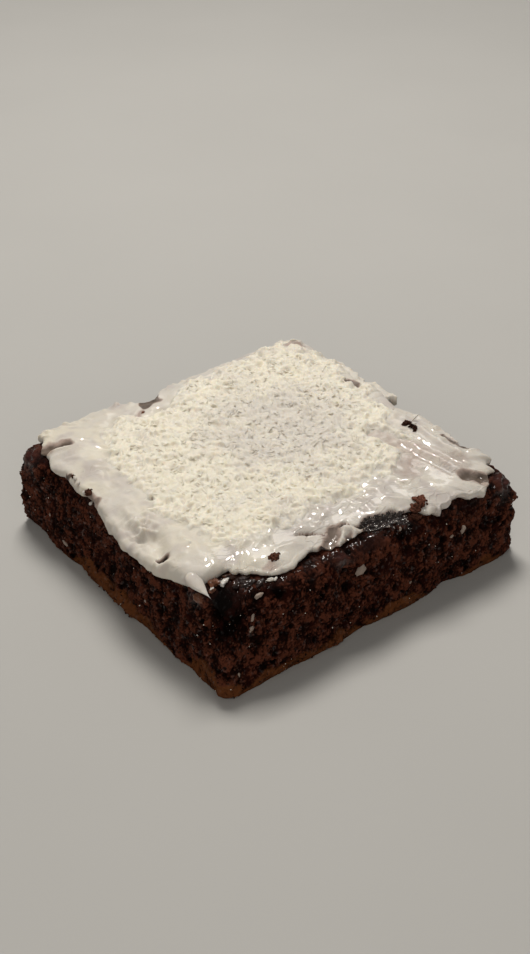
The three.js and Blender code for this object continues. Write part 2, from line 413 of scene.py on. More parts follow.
@dataclass(frozen=True)
class IcingFinish:
    """Soft white icing: glossy where it is wet, dull where coconut lies in it, brown where it is thin."""

    name: str = "white_icing"
    white: Colour = seen(208, 201, 191)
    cream: Colour = seen(216, 208, 191)
    dull: Colour = seen(193, 184, 177)
    veil: Colour = seen(176, 158, 147)
    brown: Colour = seen(104, 90, 79)
    under: Colour = seen(34, 18, 14)

    def material(self) -> Material:
        """Makes the material.

        Returns:
            The finished material.
        """
        desk = Desk(self.name)
        bed = desk.mark(Mark.BED)
        thin = desk.mark(Mark.THIN)
        wet = desk.mark(Mark.WET)
        moist = desk.mark(Mark.TINT)
        smear = desk.cloud(1.3, 2.0)
        colour = moist.ramp(0.2, 0.8).blend(self.white, self.cream)
        colour = (desk.cloud(6.0, 2.0).ramp(0.45, 0.7) * (1.0 - bed)).blend(colour, self.dull)
        film = thin + (smear - 0.5) * 0.3
        colour = film.ramp(0.12, 0.5).blend(colour, self.veil)
        colour = film.ramp(0.45, 0.85).blend(colour, self.brown)
        colour = film.ramp(0.82, 1.02).blend(colour, self.under)
        roughness = 0.55 - wet * 0.1 + bed * 0.15 + smear * 0.1
        coat = wet * 0.8 - bed * 0.6
        grainy = desk.cloud(5.0, 2.0).ramp(0.4, 0.6)
        wisp = abs(desk.cloud(2.4, 1.0, (0.6, 1.3, 1.0)) - 0.5).ramp(0.05, 0.0)
        wisp = wisp * desk.cloud(7.0, 1.0).ramp(0.42, 0.55) * (wet - bed)
        dimples = desk.cloud(0.6, 2.0) * (0.5 - wet * 0.4)
        beads = desk.cloud(0.35, 1.0) * grainy * wet * 0.5
        height = dimples + beads + wisp * 0.7
        return desk.close(
            Base_Color=colour,
            Roughness=roughness,
            Coat_Weight=coat,
            Coat_Roughness=0.05,
            Coat_IOR=1.9,
            Specular_IOR_Level=0.3,
            Subsurface_Weight=0.3,
            Subsurface_Radius=(1.0, 0.8, 0.6),
            Subsurface_Scale=0.0018,
            Normal=desk.bump(height, 0.14),
        )


@dataclass(frozen=True)
class CoconutFinish:
    """Dried shredded coconut: chalky white, yellower where it has drawn up moisture, with a faint painted shade
    in the gaps between shreds.
    """

    name: str = "shredded_coconut"
    soft: float = 0.6
    dry: Colour = seen(210, 203, 193)
    moist: Colour = seen(233, 226, 208)
    # Colour of the low gaps between shreds: a painted shade, now so faint that it is close to the dry coconut's
    # colour.
    painted_gap_shade: Colour = seen(214, 206, 193)
    icing: Colour = seen(208, 201, 190)
    # Darker grey that the coconut flakes on the cut sides take.
    flake_grey: Colour = seen(150, 134, 122)

    def material(self) -> Material:
        """Makes the material.

        Returns:
            The finished material.
        """
        desk = Desk(self.name)
        tint = desk.mark(Mark.TINT)
        relief = desk.mark(Mark.RELIEF)
        fibre = desk.cloud(0.5, 2.0)
        patch = desk.cloud(3.2, 2.0)
        shade = tint * 0.8 + (patch - 0.5) * 0.7 + (fibre - 0.5) * 0.6 + 0.1
        colour = shade.ramp(0.0, 1.0).blend(self.dry, self.moist)
        # Low places in the pile take the gap colour, a painted shade.
        colour = (relief + (fibre - 0.5) * 0.3).ramp(0.0, 0.6).blend(self.painted_gap_shade, colour)
        # Relief below 0 marks the flakes on the cut sides, which turn that darker grey.
        colour = relief.ramp(-0.1, -0.6).blend(colour, self.flake_grey)
        bed = desk.mark(Mark.BED)
        colour = bed.ramp(0.0, 0.9).blend(self.icing, colour)
        moist = desk.cloud(2.4, 2.0).ramp(0.52, 0.66)
        return desk.close(
            Base_Color=colour,
            Roughness=0.5 + fibre * 0.2,
            Coat_Weight=moist * (0.7 - bed * 0.5),
            Coat_Roughness=0.1,
            Specular_IOR_Level=0.3,
            Subsurface_Weight=self.soft,
            Subsurface_Radius=(1.0, 0.85, 0.65),
            Subsurface_Scale=0.001,
            Normal=desk.bump(desk.cloud(0.3, 3.0), 0.08),
        )


@dataclass(frozen=True)
class BitFinish:
    """Loose crumb: dark at one end of its tints, dry reddish brown at the other."""

    name: str = "loose_crumb"
    dark: Colour = seen(24, 11, 7)
    brown: Colour = seen(64, 40, 30)
    dry: Colour = seen(116, 72, 57)

    def material(self) -> Material:
        """Makes the material.

        Returns:
            The finished material.
        """
        desk = Desk(self.name)
        tint = desk.mark(Mark.TINT)
        fleck = desk.cloud(0.35, 2.0)
        shade = tint + (fleck - 0.5) * 0.9
        colour = shade.ramp(0.0, 0.6).blend(self.dark, self.brown)
        colour = shade.ramp(0.6, 1.1).blend(colour, self.dry)
        wet = desk.cloud(0.8, 1.0).ramp(0.52, 0.62)
        return desk.close(
            Base_Color=colour,
            Roughness=0.6 + fleck * 0.2,
            Coat_Weight=wet * 0.15,
            Coat_Roughness=0.15,
            Specular_IOR_Level=0.05,
            Normal=desk.bump(fleck, 0.12),
        )


@dataclass(frozen=True)
class CrustFinish:
    """Broken scales of the shiny top skin, translucent orange brown where they are thin."""

    name: str = "crust_scale"
    dark: Colour = seen(34, 19, 15)
    amber: Colour = seen(106, 62, 38)

    def material(self) -> Material:
        """Makes the material.

        Returns:
            The finished material.
        """
        desk = Desk(self.name)
        tint = desk.mark(Mark.TINT)
        vein = desk.cloud(0.9, 3.0)
        colour = (tint + (vein - 0.5) * 0.8).ramp(0.1, 0.9).blend(self.dark, self.amber)
        return desk.close(
            Base_Color=colour,
            Roughness=0.4 + vein * 0.2,
            Coat_Weight=1.0,
            Coat_Roughness=0.08,
            Specular_IOR_Level=0.2,
            Normal=desk.bump(vein, 0.2),
        )


@dataclass(frozen=True)
class FilmFinish:
    """Wet bubbly film of thin icing over dark crust, with some milky bubbles whose white also paints their
    glints.
    """

    name: str = "bubbly_film"
    dark: Colour = seen(34, 20, 16)
    # Milky white of some bubbles, which also stands in for glints on them: a painted highlight.
    milky_glint: Colour = seen(168, 156, 148)

    def material(self) -> Material:
        """Makes the material.

        Returns:
            The finished material.
        """
        desk = Desk(self.name)
        tint = desk.mark(Mark.TINT)
        swirl = desk.cloud(0.7, 2.0)
        colour = (tint * 0.8 + swirl * 0.4).ramp(0.5, 1.0).blend(self.dark, self.milky_glint)
        return desk.close(
            Base_Color=colour,
            Roughness=0.1 + swirl * 0.1,
            Coat_Weight=1.0,
            Coat_IOR=1.9,
            Coat_Roughness=0.04,
        )


@dataclass(frozen=True)
class FloorFinish:
    """Pale matt studio floor."""

    name: str = "pale_floor"
    light: Colour = seen(180, 178, 174)
    shade: Colour = seen(175, 173, 169)

    def material(self) -> Material:
        """Makes the material.

        Returns:
            The finished material.
        """
        desk = Desk(self.name)
        cloud = desk.cloud(60.0, 3.0)
        return desk.close(
            Base_Color=cloud.blend(self.shade, self.light),
            Roughness=0.7 + cloud * 0.15,
        )


class Probe:
    """Casts rays at a surface."""

    def __init__(self, points: list[list[float]], faces: list[list[int]]) -> None:
        """Takes the surface's points, in millimetres, and its faces."""
        self.tree = BVHTree.FromPolygons(points, faces)

    @classmethod
    def of_node(cls, node: str) -> "Probe":
        """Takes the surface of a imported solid.

        Args:
            node: Name of its node.

        Returns:
            A probe of it.
        """
        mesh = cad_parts[node].data
        points = [vertex.co / MM for vertex in mesh.vertices]
        return cls(points, [list(polygon.vertices) for polygon in mesh.polygons])

    def travel(self, origins: Array, directions: Array) -> Array:
        """Measures how far each ray goes before it meets the surface.

        Args:
            origins: Where the rays start, one to a row.
            directions: Their unit directions, one to a row.

        Returns:
            Distances, with nan where a ray misses.
        """
        pairs = zip(origins.tolist(), directions.tolist())
        hits = [self.tree.ray_cast(origin, direction)[3] for origin, direction in pairs]
        return np.array([math.nan if hit is None else hit for hit in hits])

    def height(self, flat: Array) -> Array:
        """Height of the surface over places, with nan where there is none."""
        origins = lifted(flat, FAR)
        return FAR - self.travel(origins, np.broadcast_to([0.0, 0.0, -1.0], origins.shape))


class Ball:
    """A round mesh that lumps are shaped from."""

    def __init__(self, fineness: int) -> None:
        """Makes the ball.

        Args:
            fineness: Steps of refinement, rounder as they go up.
        """
        shape = bmesh.new()
        bmesh.ops.create_icosphere(shape, subdivisions=fineness, radius=1.0)
        shape.verts.index_update()
        self.points = np.array([vertex.co for vertex in shape.verts])
        self.faces = np.array([[vertex.index for vertex in face.verts] for face in shape.faces])
        shape.free()

    def lumps(self, middles: Array, sizes: Array, rough: float, draw: Draws) -> tuple[Array, Array]:
        """Makes rough lumps, each turned its own way.

        Args:
            middles: Their middles, one to a row.
            sizes: Their half sizes along three axes, one lump to a row.
            rough: Spread of each point's distance from the middle, as a share of it.
            draw: Source of random draws.

        Returns:
            Points and faces of all lumps.
        """
        count = len(middles)
        turns = np.array([Quaternion(four).normalized().to_matrix() for four in draw.normal(size=(count, 4))])
        shares = 1 + rough * draw.normal(size=(count, len(self.points), 1))
        shaped = self.points[None] * shares * sizes[:, None, :]
        points = np.einsum("nij,nkj->nki", turns, shaped) + middles[:, None, :]
        starts = np.arange(count)[:, None, None] * len(self.points)
        return points.reshape(-1, 3), (self.faces[None] + starts).reshape(-1, 3)

    def torn(self, sizes: Triple, turn: float, rough: float, shift: float) -> Array:
        """Shapes one ragged lump.

        Args:
            sizes: Its half sizes along three axes.
            turn: How far it is turned about the third axis.
            rough: Depth of its bays, as a share of its size.
            shift: Moves the pattern of bays, so that two lumps differ.

        Returns:
            Its points about its own middle.
        """
        layers = ((1.0, 1.0), (0.6, 0.45), (0.25, 0.2))
        bays = sum(share * lumps(self.points, size, shift + size) for share, size in layers)
        shaped = self.points * (1 + rough * bays)[:, None] * np.array(sizes)
        return turned(shaped, turn)


@dataclass(frozen=True)
class Plan:
    """The square seen from above, and how its outline moves inwards."""

    width: float = 80.0
    depth: float = 79.0
    corner: float = 2.4
    reach: float = 16.0
    arc_steps: int = 24

    def outline(self, count: int) -> tuple[Array, Array, Array]:
        """Spreads places evenly round the outline.

        Args:
            count: Number of places.

        Returns:
            The places, the points that they move in towards, and the unit directions outwards.
        """
        half = np.array([self.width, self.depth]) / 2
        steps = 4 * self.arc_steps
        turns = (np.arange(steps) + 0.5) * (2 * math.pi / steps)
        arms = np.column_stack([np.cos(turns), np.sin(turns)])
        corners = np.sign(arms) * (half - self.corner) + arms * self.corner
        closed = np.vstack([corners, corners[:1]])
        run = np.concatenate([[0.0], np.cumsum(np.linalg.norm(np.diff(closed, axis=0), axis=1))])
        stops = np.linspace(0.0, run[-1], count, endpoint=False)
        places = np.column_stack([np.interp(stops, run, closed[:, axis]) for axis in (0, 1)])
        inner = np.clip(places, self.reach - half, half - self.reach)
        outward = places - inner
        return places, inner, outward / np.linalg.norm(outward, axis=1, keepdims=True)


@dataclass(frozen=True)
class Spot:
    """A soft round place on the icing or its edge."""

    x: float
    y: float
    reach: float
    rise: float

    def strength(self, points: Array) -> Array:
        """The spot's rise at points, fading out past its reach."""
        return self.rise * np.exp(-((span_from(points, (self.x, self.y)) / self.reach) ** 2))

    def peak(self, points: Array) -> Array:
        """The same with a sharp tip."""
        steep = 2.0
        return self.rise * np.exp(-steep * span_from(points, (self.x, self.y)) / self.reach)


@dataclass(frozen=True)
class Streak:
    """A streak between two places on the icing.

    It has a half width, an amount, the softness of its edge, how far it sinks and how pointed its ends are.
    """

    start: Pair
    end: Pair
    half: float
    amount: float
    soft: float = 0.4
    sunk: float = 1.0
    pointed: float = 0.0

    def away(self, points: Array) -> Array:
        """Distance of points from the streak's middle line.

        Args:
            points: Places, one to a row.

        Returns:
            Distances in half widths.
        """
        start = np.array(self.start)
        along = np.array(self.end) - start
        share = np.clip((points - start) @ along / (along @ along), 0.0, 1.0)
        half = self.half * (1.0 - self.pointed * (2.0 * share - 1.0) ** 2)
        return np.linalg.norm(points - start - share[:, None] * along, axis=1) / half

    def strength(self, points: Array, softer: float = 0.0) -> Array:
        """The streak's amount at points, fading out about its half width.

        Args:
            points: Places, one to a row.
            softer: How much softer its edge gets.

        Returns:
            Amounts.
        """
        softest = 0.95
        soft = min(self.soft + softer, softest)
        return self.amount * smoothstep(1.0 + soft, 1.0 - soft, self.away(points))

    def fold(self, points: Array) -> Array:
        """The streak's amount at points as a round fold."""
        return self.amount * np.exp(-(self.away(points) ** 2))


class Mesh:
    """Collects points, faces and marks of one piece, and turns them into an object."""

    def __init__(self) -> None:
        """Starts empty."""
        self.points: list[Array] = []
        self.faces: list[Array] = []
        self.marks: dict[Mark, list[Array]] = {}
        self.count = 0

    def add(self, points: Array, faces: list[Array], **marks: Array) -> None:
        """Adds a shape.

        Args:
            points: Its points, one to a row, in millimetres.
            faces: Arrays of its faces, by its own point numbers.
            **marks: One value for each point, by the mark's name.
        """
        self.points.append(points)
        self.faces.extend(face + self.count for face in faces)
        for name, values in marks.items():
            self.marks.setdefault(Mark(name), []).append(values)
        self.count += len(points)

    def lists(self) -> tuple[list[list[float]], list[list[int]]]:
        """Lists the points, in millimetres, and the faces."""
        return np.vstack(self.points).tolist(), [face for group in self.faces for face in group.tolist()]

    def probe(self) -> Probe:
        """Makes a probe of the surface so far."""
        return Probe(*self.lists())

    def piece(self, name: str, material: Material, slot: Slot, replaced: Optional[str] = None) -> Object:
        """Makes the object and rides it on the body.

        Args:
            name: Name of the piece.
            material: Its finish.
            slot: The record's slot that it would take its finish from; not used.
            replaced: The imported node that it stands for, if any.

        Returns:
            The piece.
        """
        mesh = bpy.data.meshes.new(name)
        points, faces = self.lists()
        mesh.from_pydata([[value * MM for value in point] for point in points], [], faces)
        for mark, values in self.marks.items():
            stored = mesh.attributes.new(mark.value, "FLOAT", "POINT")
            stored.data.foreach_set("value", np.concatenate(values).astype(np.float32))
        mesh.shade_smooth()
        mesh.materials.append(material)
        piece = bpy.data.objects.new(name, mesh)
        bpy.context.scene.collection.objects.link(piece)
        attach(piece, BODY)
        if replaced:
            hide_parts(replaced)
        triangles = sum(len(face) - 2 for face in faces)
        LOG.info("%s: %d points, %d triangles", name, self.count, triangles)
        return piece


def ring_faces(rings: int, around: int) -> list[Array]:
    """Faces of rings that follow one another, closed by a point before the first and one after the last.

    Args:
        rings: Number of rings.
        around: Points in each ring. The first closing point comes after them all, and the last one after it.

    Returns:
        The quads between the rings and the triangles of both ends.
    """
    column = np.arange(around)
    following = np.roll(column, -1)
    starts = np.arange(rings - 1)[:, None] * around
    quads = np.stack(
        [starts + column, starts + following, starts + around + following, starts + around + column], axis=-1
    )
    first = np.full(around, rings * around)
    last_ring = (rings - 1) * around
    bottom = np.column_stack([following, column, first])
    top = np.column_stack([last_ring + column, last_ring + following, first + 1])
    return [quads.reshape(-1, 4), bottom, top]


@dataclass(frozen=True)
class Patch:
    """A soft round patch of the cake's surface: its middle, how far it reaches and how deep it is."""

    middle: Triple
    reach: float
    depth: float = 1.0

    def strength(self, points: Array) -> Array:
        """The patch's depth at points, fading out past its reach."""
        away = np.linalg.norm(points - np.array(self.middle), axis=1)
        return self.depth * np.exp(-((away / self.reach) ** 2))


@dataclass(frozen=True)
class Grain:
    """A layer of crumbs: their size, the shift of their pattern, their bulge, and the cracks between them."""

    size: float
    shift: float
    bulge: float
    crack: float


@dataclass(frozen=True)
class Pore:
    """A layer of holes: their spacing, shift of pattern, depth, walls, and which of them are open."""

    size: float
    shift: float
    depth: float
    walls: Fade
    chance: Fade


@dataclass
class Cake:
    """The square of crumb, from its flat base to the crust under the icing."""

    plan: Plan
    height: float = 20.0
    taper: float = 1.2
    shoulder: float = 3.2
    around: int = 1140
    side_rows: int = 60
    shoulder_rows: int = 16
    top_insets: tuple[float, ...] = (4.8, 5.3, 6.0, 7.0, 8.5, 10.5, 13.0, 15.0)
    stand_off: float = 6.0
    foot: float = 0.12
    foot_rows: int = 2
    row_blur: float = 1.5
    ring_blur: float = 2.5
    below_icing: Fade = Fade(0.2, -1.6)
    relief_under_icing: float = 0.6
    above_foot: Fade = Fade(0.0, 0.9)
    relief_at_foot: float = 0.2
    loft: Ripple = Ripple(0.5, 2.6, 11.0)
    crumbs: tuple[Grain, ...] = (Grain(1.3, 0.0, 0.4, 0.12), Grain(0.65, 5.0, 0.36, 0.1))
    pores: tuple[Pore, ...] = (
        Pore(2.6, 2.0, 0.9, Fade(0.34, 0.14), Fade(0.5, 0.65)),
        Pore(1.1, 8.0, 0.5, Fade(0.36, 0.16), Fade(0.45, 0.55)),
    )
    # Turns relief into the share that runs from painted pit shade to crests with painted light.
    pit_shade_to_crest_light: Fade = Fade(-0.9, 0.6)
    baked_height: float = 2.6
    baked_waves: Ripple = Ripple(5.0, 11.0, 4.0)
    baked_fringe: Ripple = Ripple(1.6, 2.4, 7.0)
    baked_edge: Fade = Fade(1.4, -1.2)
    crust_depth: float = 1.2
    crust_waves: Ripple = Ripple(3.0, 6.0, 9.0)
    crust_edge: Fade = Fade(-0.8, 1.6)
    glaze_smooths: float = 0.6
    glaze_waves: Ripple = Ripple(0.9, 1.4, 27.0)
    # Sunken places. Their low relief also paints them in the near black pit colour, a painted shade.
    hollows: tuple[Patch, ...] = (
        Patch((-34.6, -32.4, 18.8), 2.2, 1.6),
        Patch((-36.0, -35.6, 15.6), 2.6, 1.3),
        Patch((-25.0, -37.6, 18.8), 1.2, 1.0),
        Patch((-6.0, -38.6, 12.9), 1.1, 1.1),
    )
    glazed: tuple[Patch, ...] = (
        Patch((36.2, -37.4, 18.6), 2.8),
        Patch((-38.6, 34.4, 18.6), 2.6),
        Patch((-38.2, -27.8, 18.6), 1.8),
        Patch((-8.6, -37.0, 19.2), 1.6),
    )

    def section(self) -> Array:
        """Works out the rows of the cake from foot to top.

        Returns:
            Inset, height, and the outward and upward parts of the normal, one row to a row.
        """
        heights = np.linspace(self.foot, self.height - self.shoulder, self.side_rows)
        ones = np.ones_like(heights)
        side = np.column_stack([self.taper * heights / self.height, heights, ones, 0 * ones])
        turns = np.linspace(0.0, math.pi / 2, self.shoulder_rows + 1)[1:]
        inset = self.taper + self.shoulder * (1 - np.cos(turns))
        level = self.height - self.shoulder * (1 - np.sin(turns))
        shoulder = np.column_stack([inset, level, np.cos(turns), np.sin(turns)])
        top = np.array([[inset, self.height, 0.0, 1.0] for inset in self.top_insets])
        return np.vstack([side, shoulder, top])

    def surface(self) -> tuple[Array, Array, Array]:
        """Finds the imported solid's surface along the rows.

        Returns:
            Points and normals as grids of rows and places, and each row's share of the crumb's relief.
        """
        places, inner, outward = self.plan.outline(self.around)
        section = self.section()
        share = (section[:, 0] / self.plan.reach)[:, None, None]
        level = places + (inner - places) * share
        heights = np.broadcast_to(section[:, 1, None, None], (*level.shape[:2], 1))
        ideal = np.concatenate([level, heights], axis=2)
        sideways = outward[None] * section[:, 2, None, None]
        upwards = np.broadcast_to(section[:, 3, None, None], (*level.shape[:2], 1))
        normal = np.concatenate([sideways, upwards], axis=2)
        origins = (ideal + normal * self.stand_off).reshape(-1, 3)
        travel = Probe.of_node("cake").travel(origins, -normal.reshape(-1, 3)).reshape(level.shape[:2])
        rise = np.nan_to_num(self.stand_off - travel)
        rise = blurred(blurred(rise, self.ring_blur, 1, True), self.row_blur, 0, False)
        bare = self.below_icing.at(section[:, 1] - self.height)
        crumbly = bare * (1 - self.relief_under_icing) + self.relief_under_icing
        return ideal + normal * rise[..., None], normal, crumbly

    def relief(self, points: Array) -> tuple[Array, Array]:
        """Crumb relief at points of the surface.

        Args:
            points: Points, one to a row.

        Returns:
            How far each point stands out, and one draw for each crumb.
        """
        layers = [grains(points, grain.size, grain.shift) for grain in self.crumbs]
        out = self.loft.at(points)
        for grain, (away, crack, _) in zip(self.crumbs, layers):
            out -= grain.bulge * away
            out -= grain.crack * crack
        for pore in self.pores:
            away, _, draws = grains(points, pore.size, pore.shift)
            out -= pore.depth * pore.walls.at(away) * pore.chance.at(draws)
        out -= out.mean()
        for hollow in self.hollows:
            out -= hollow.strength(points)
        return out, layers[0][2]

    def golden(self, points: Array) -> Array:
        """Share of golden baked skin near the foot.

        Args:
            points: Points, one to a row.

        Returns:
            Shares.
        """
        level = np.array([1.0, 1.0, 0.0])
        rim = self.baked_height + self.baked_waves.at(points * level) + self.baked_fringe.at(points)
        return self.baked_edge.at(points[:, 2] - rim)

    def crust(self, points: Array) -> Array:
        """Share of dark shiny top crust at points near the rim."""
        rim = self.height - self.crust_depth + self.crust_waves.at(points)
        return self.crust_edge.at(points[:, 2] - rim)

    def glaze(self, points: Array) -> Array:
        """Share of smooth syrupy red skin at points near the rim."""
        return np.max([patch.strength(points) for patch in self.glazed], axis=0)

    def build(self) -> Object:
        """Models and dresses the cake.

        Returns:
            The finished piece.
        """
        points, normal, crumbly = self.surface()
        rows, around = points.shape[:2]
        flat = points.reshape(-1, 3)
        out, draws = self.relief(flat)
        weight = np.repeat(crumbly, around)
        weight *= self.above_foot.at(flat[:, 2]) * (1 - self.relief_at_foot) + self.relief_at_foot
        glaze = self.glaze(flat)
        out = out * (1 - self.glaze_smooths * glaze) + glaze * self.glaze_waves.at(flat)
        moved = flat + normal.reshape(-1, 3) * (out * weight)[:, None]
        moved[:around, 2] = 0.0
        moved[:, 2] = np.maximum(moved[:, 2], 0.0)
        cut = slice(self.foot_rows * around, self.side_rows * around)
        self.side_points = moved[cut]
        self.side_normals = normal.reshape(-1, 3)[cut]
        ends = np.array([[0.0, 0.0, 0.0], [0.0, 0.0, self.height]])
        closing = np.zeros(2)
        mesh = Mesh()
        mesh.add(
            np.vstack([moved, ends]),
            ring_faces(rows, around),
            relief=np.concatenate([self.pit_shade_to_crest_light.at(out), closing]),
            tint=np.concatenate([draws, closing]),
            skin=np.concatenate([self.golden(flat), closing]),
            crust=np.concatenate([self.crust(flat), closing]),
            wet=np.concatenate([glaze, closing]),
        )
        self.skin = mesh.probe()
        return mesh.piece("cake_crumb", CrumbFinish().material(), Slot.CRUMB, "cake")


@dataclass(frozen=True)
class ThinPlaces:
    """Where the icing was dragged out to a film, and the threads of icing that lie over it."""

    sway_across: Ripple = Ripple(1.2, 2.2, 4.0)
    sway_along: Ripple = Ripple(1.2, 2.2, 14.0)
    softer_bank: float = 0.55
    bank: Fade = Fade(0.35, 0.95)
    threads: tuple[Streak, ...] = (
        Streak((-7.0, -35.0), (-4.7, -32.0), 0.5, 0.85),
        Streak((-4.7, -32.0), (-2.9, -32.9), 0.7, 0.9),
        Streak((-2.9, -32.9), (-2.2, -35.4), 0.55, 0.8),
        Streak((-0.8, -34.9), (-0.4, -36.8), 0.4, 0.6),
        Streak((0.9, -35.3), (1.3, -36.9), 0.4, 0.5),
        Streak((30.6, -36.6), (33.6, -37.4), 0.5, 0.5),
        Streak((-37.0, 29.2), (-34.0, 27.6), 0.5, 0.5),
    )
    films: tuple[Streak, ...] = (
        Streak((-1.2, -32.6), (9.8, -35.0), 1.35, 1.0, 0.4, 1.0, 0.5),
        Streak((-0.6, -34.6), (8.8, -36.8), 1.6, 1.0, 0.4, 1.0, 0.4),
        Streak((-9.6, -33.2), (-5.6, -31.2), 1.7, 0.72, 0.4, 0.8),
        Streak((-4.9, -34.4), (-4.7, -36.4), 1.0, 1.0, 0.3),
        Streak((-4.4, -30.9), (-1.4, -32.6), 0.35, 0.95, 0.4, 0.7, 0.5),
        Streak((-10.9, -33.4), (-10.6, -35.4), 0.5, 1.0),
        Streak((-13.6, -27.9), (-8.8, -30.9), 0.55, 0.95, 0.3, 0.8, 0.7),
        Streak((28.9, -33.2), (35.0, -39.0), 1.8, 0.85, 0.7, 0.8),
        Streak((24.7, -21.2), (25.3, -31.1), 0.8, 0.34, 0.9, 0.1, 0.5),
        Streak((19.0, -25.0), (27.0, -20.0), 3.4, 0.36, 0.9, 0.0),
        Streak((23.0, -10.0), (30.0, -29.0), 3.6, 0.32, 0.9, 0.0),
        Streak((36.0, -18.8), (34.8, -26.8), 1.3, 0.85, 0.4, 0.15, 0.6),
        Streak((34.7, 12.4), (34.4, 8.9), 1.2, 0.75, 0.5, 0.25, 0.4),
        Streak((33.5, 34.5), (37.0, 33.2), 1.2, 0.5, 0.6, 0.5),
        Streak((-10.4, 32.0), (-4.8, 34.4), 1.9, 0.85, 0.2, 0.05, 0.45),
        Streak((-12.8, 29.6), (-11.4, 30.4), 0.9, 0.5, 0.8, 0.0),
        # A grey film on the front of a lump by the broken corner: painted shade of a hollow there.
        Streak((-24.2, -32.8), (-22.6, -32.4), 1.0, 0.42, 0.9, 0.2),
        Streak((-40.0, 33.2), (-33.0, 28.8), 2.1, 0.82, 0.6, 0.7, 0.3),
        Streak((-38.2, 20.0), (-37.9, 18.6), 0.5, 0.95, 0.4, 0.8),
        Streak((-38.2, 11.6), (-38.0, 8.4), 1.0, 0.7, 0.6, 0.4),
        Streak((-38.2, -16.6), (-37.8, -17.4), 0.8, 1.0),
        Streak((-29.8, 0.1), (-29.4, 0.3), 0.5, 0.95),
    )

    def wander(self, flat: Array) -> Array:
        """Places moved about a little, so that a streak's edge wanders."""
        deep = lifted(flat)
        return flat + np.column_stack([self.sway_across.at(deep), self.sway_along.at(deep)])

    def film(self, flat: Array) -> Array:
        """Share by which the icing is thinned to a film at places."""
        spots = self.wander(flat)
        return np.max([film.strength(spots) for film in self.films], axis=0) * (1 - self.strand(flat))

    def strand(self, flat: Array) -> Array:
        """Share of a thread of icing that lies over a film at places."""
        return np.max([thread.fold(flat) for thread in self.threads], axis=0)

    def sinking(self, flat: Array) -> Array:
        """How far films sink towards the cake.

        Args:
            flat: Places, one to a row.

        Returns:
            Shares of the way down.
        """
        spots = self.wander(flat)
        banks = [film.sunk * self.bank.at(film.strength(spots, self.softer_bank)) for film in self.films]
        return np.max(banks, axis=0)


@dataclass(frozen=True)
class WetPlaces:
    """Where the icing is glossy and wet: most at the front and on the right."""

    front: Fade = Fade(-14.0, -24.0)
    right_across: Fade = Fade(14.0, 24.0)
    right_along: Fade = Fade(4.0, -8.0)
    right_share: float = 0.55
    least: float = 0.4
    off_left: Fade = Fade(-34.0, -28.0)
    left_share: float = 0.4
    everywhere: float = 0.1
    spots: tuple[Spot, ...] = (
        Spot(-32.5, 17.5, 3.0, 0.6),
        Spot(6.4, 32.2, 4.0, 0.5),
        Spot(-18.0, 31.0, 4.0, 0.4),
    )

    def share(self, flat: Array) -> Array:
        """Share of wet icing.

        Args:
            flat: Places, one to a row.

        Returns:
            Shares.
        """
        front = self.front.at(flat[:, 1])
        right = self.right_share * self.right_across.at(flat[:, 0]) * self.right_along.at(flat[:, 1])
        spots = sum(spot.strength(flat) for spot in self.spots)
        inner = self.off_left.at(flat[:, 0]) * (1 - self.left_share) + self.left_share
        return np.maximum(np.maximum(front, right), self.least) * inner + self.everywhere + spots


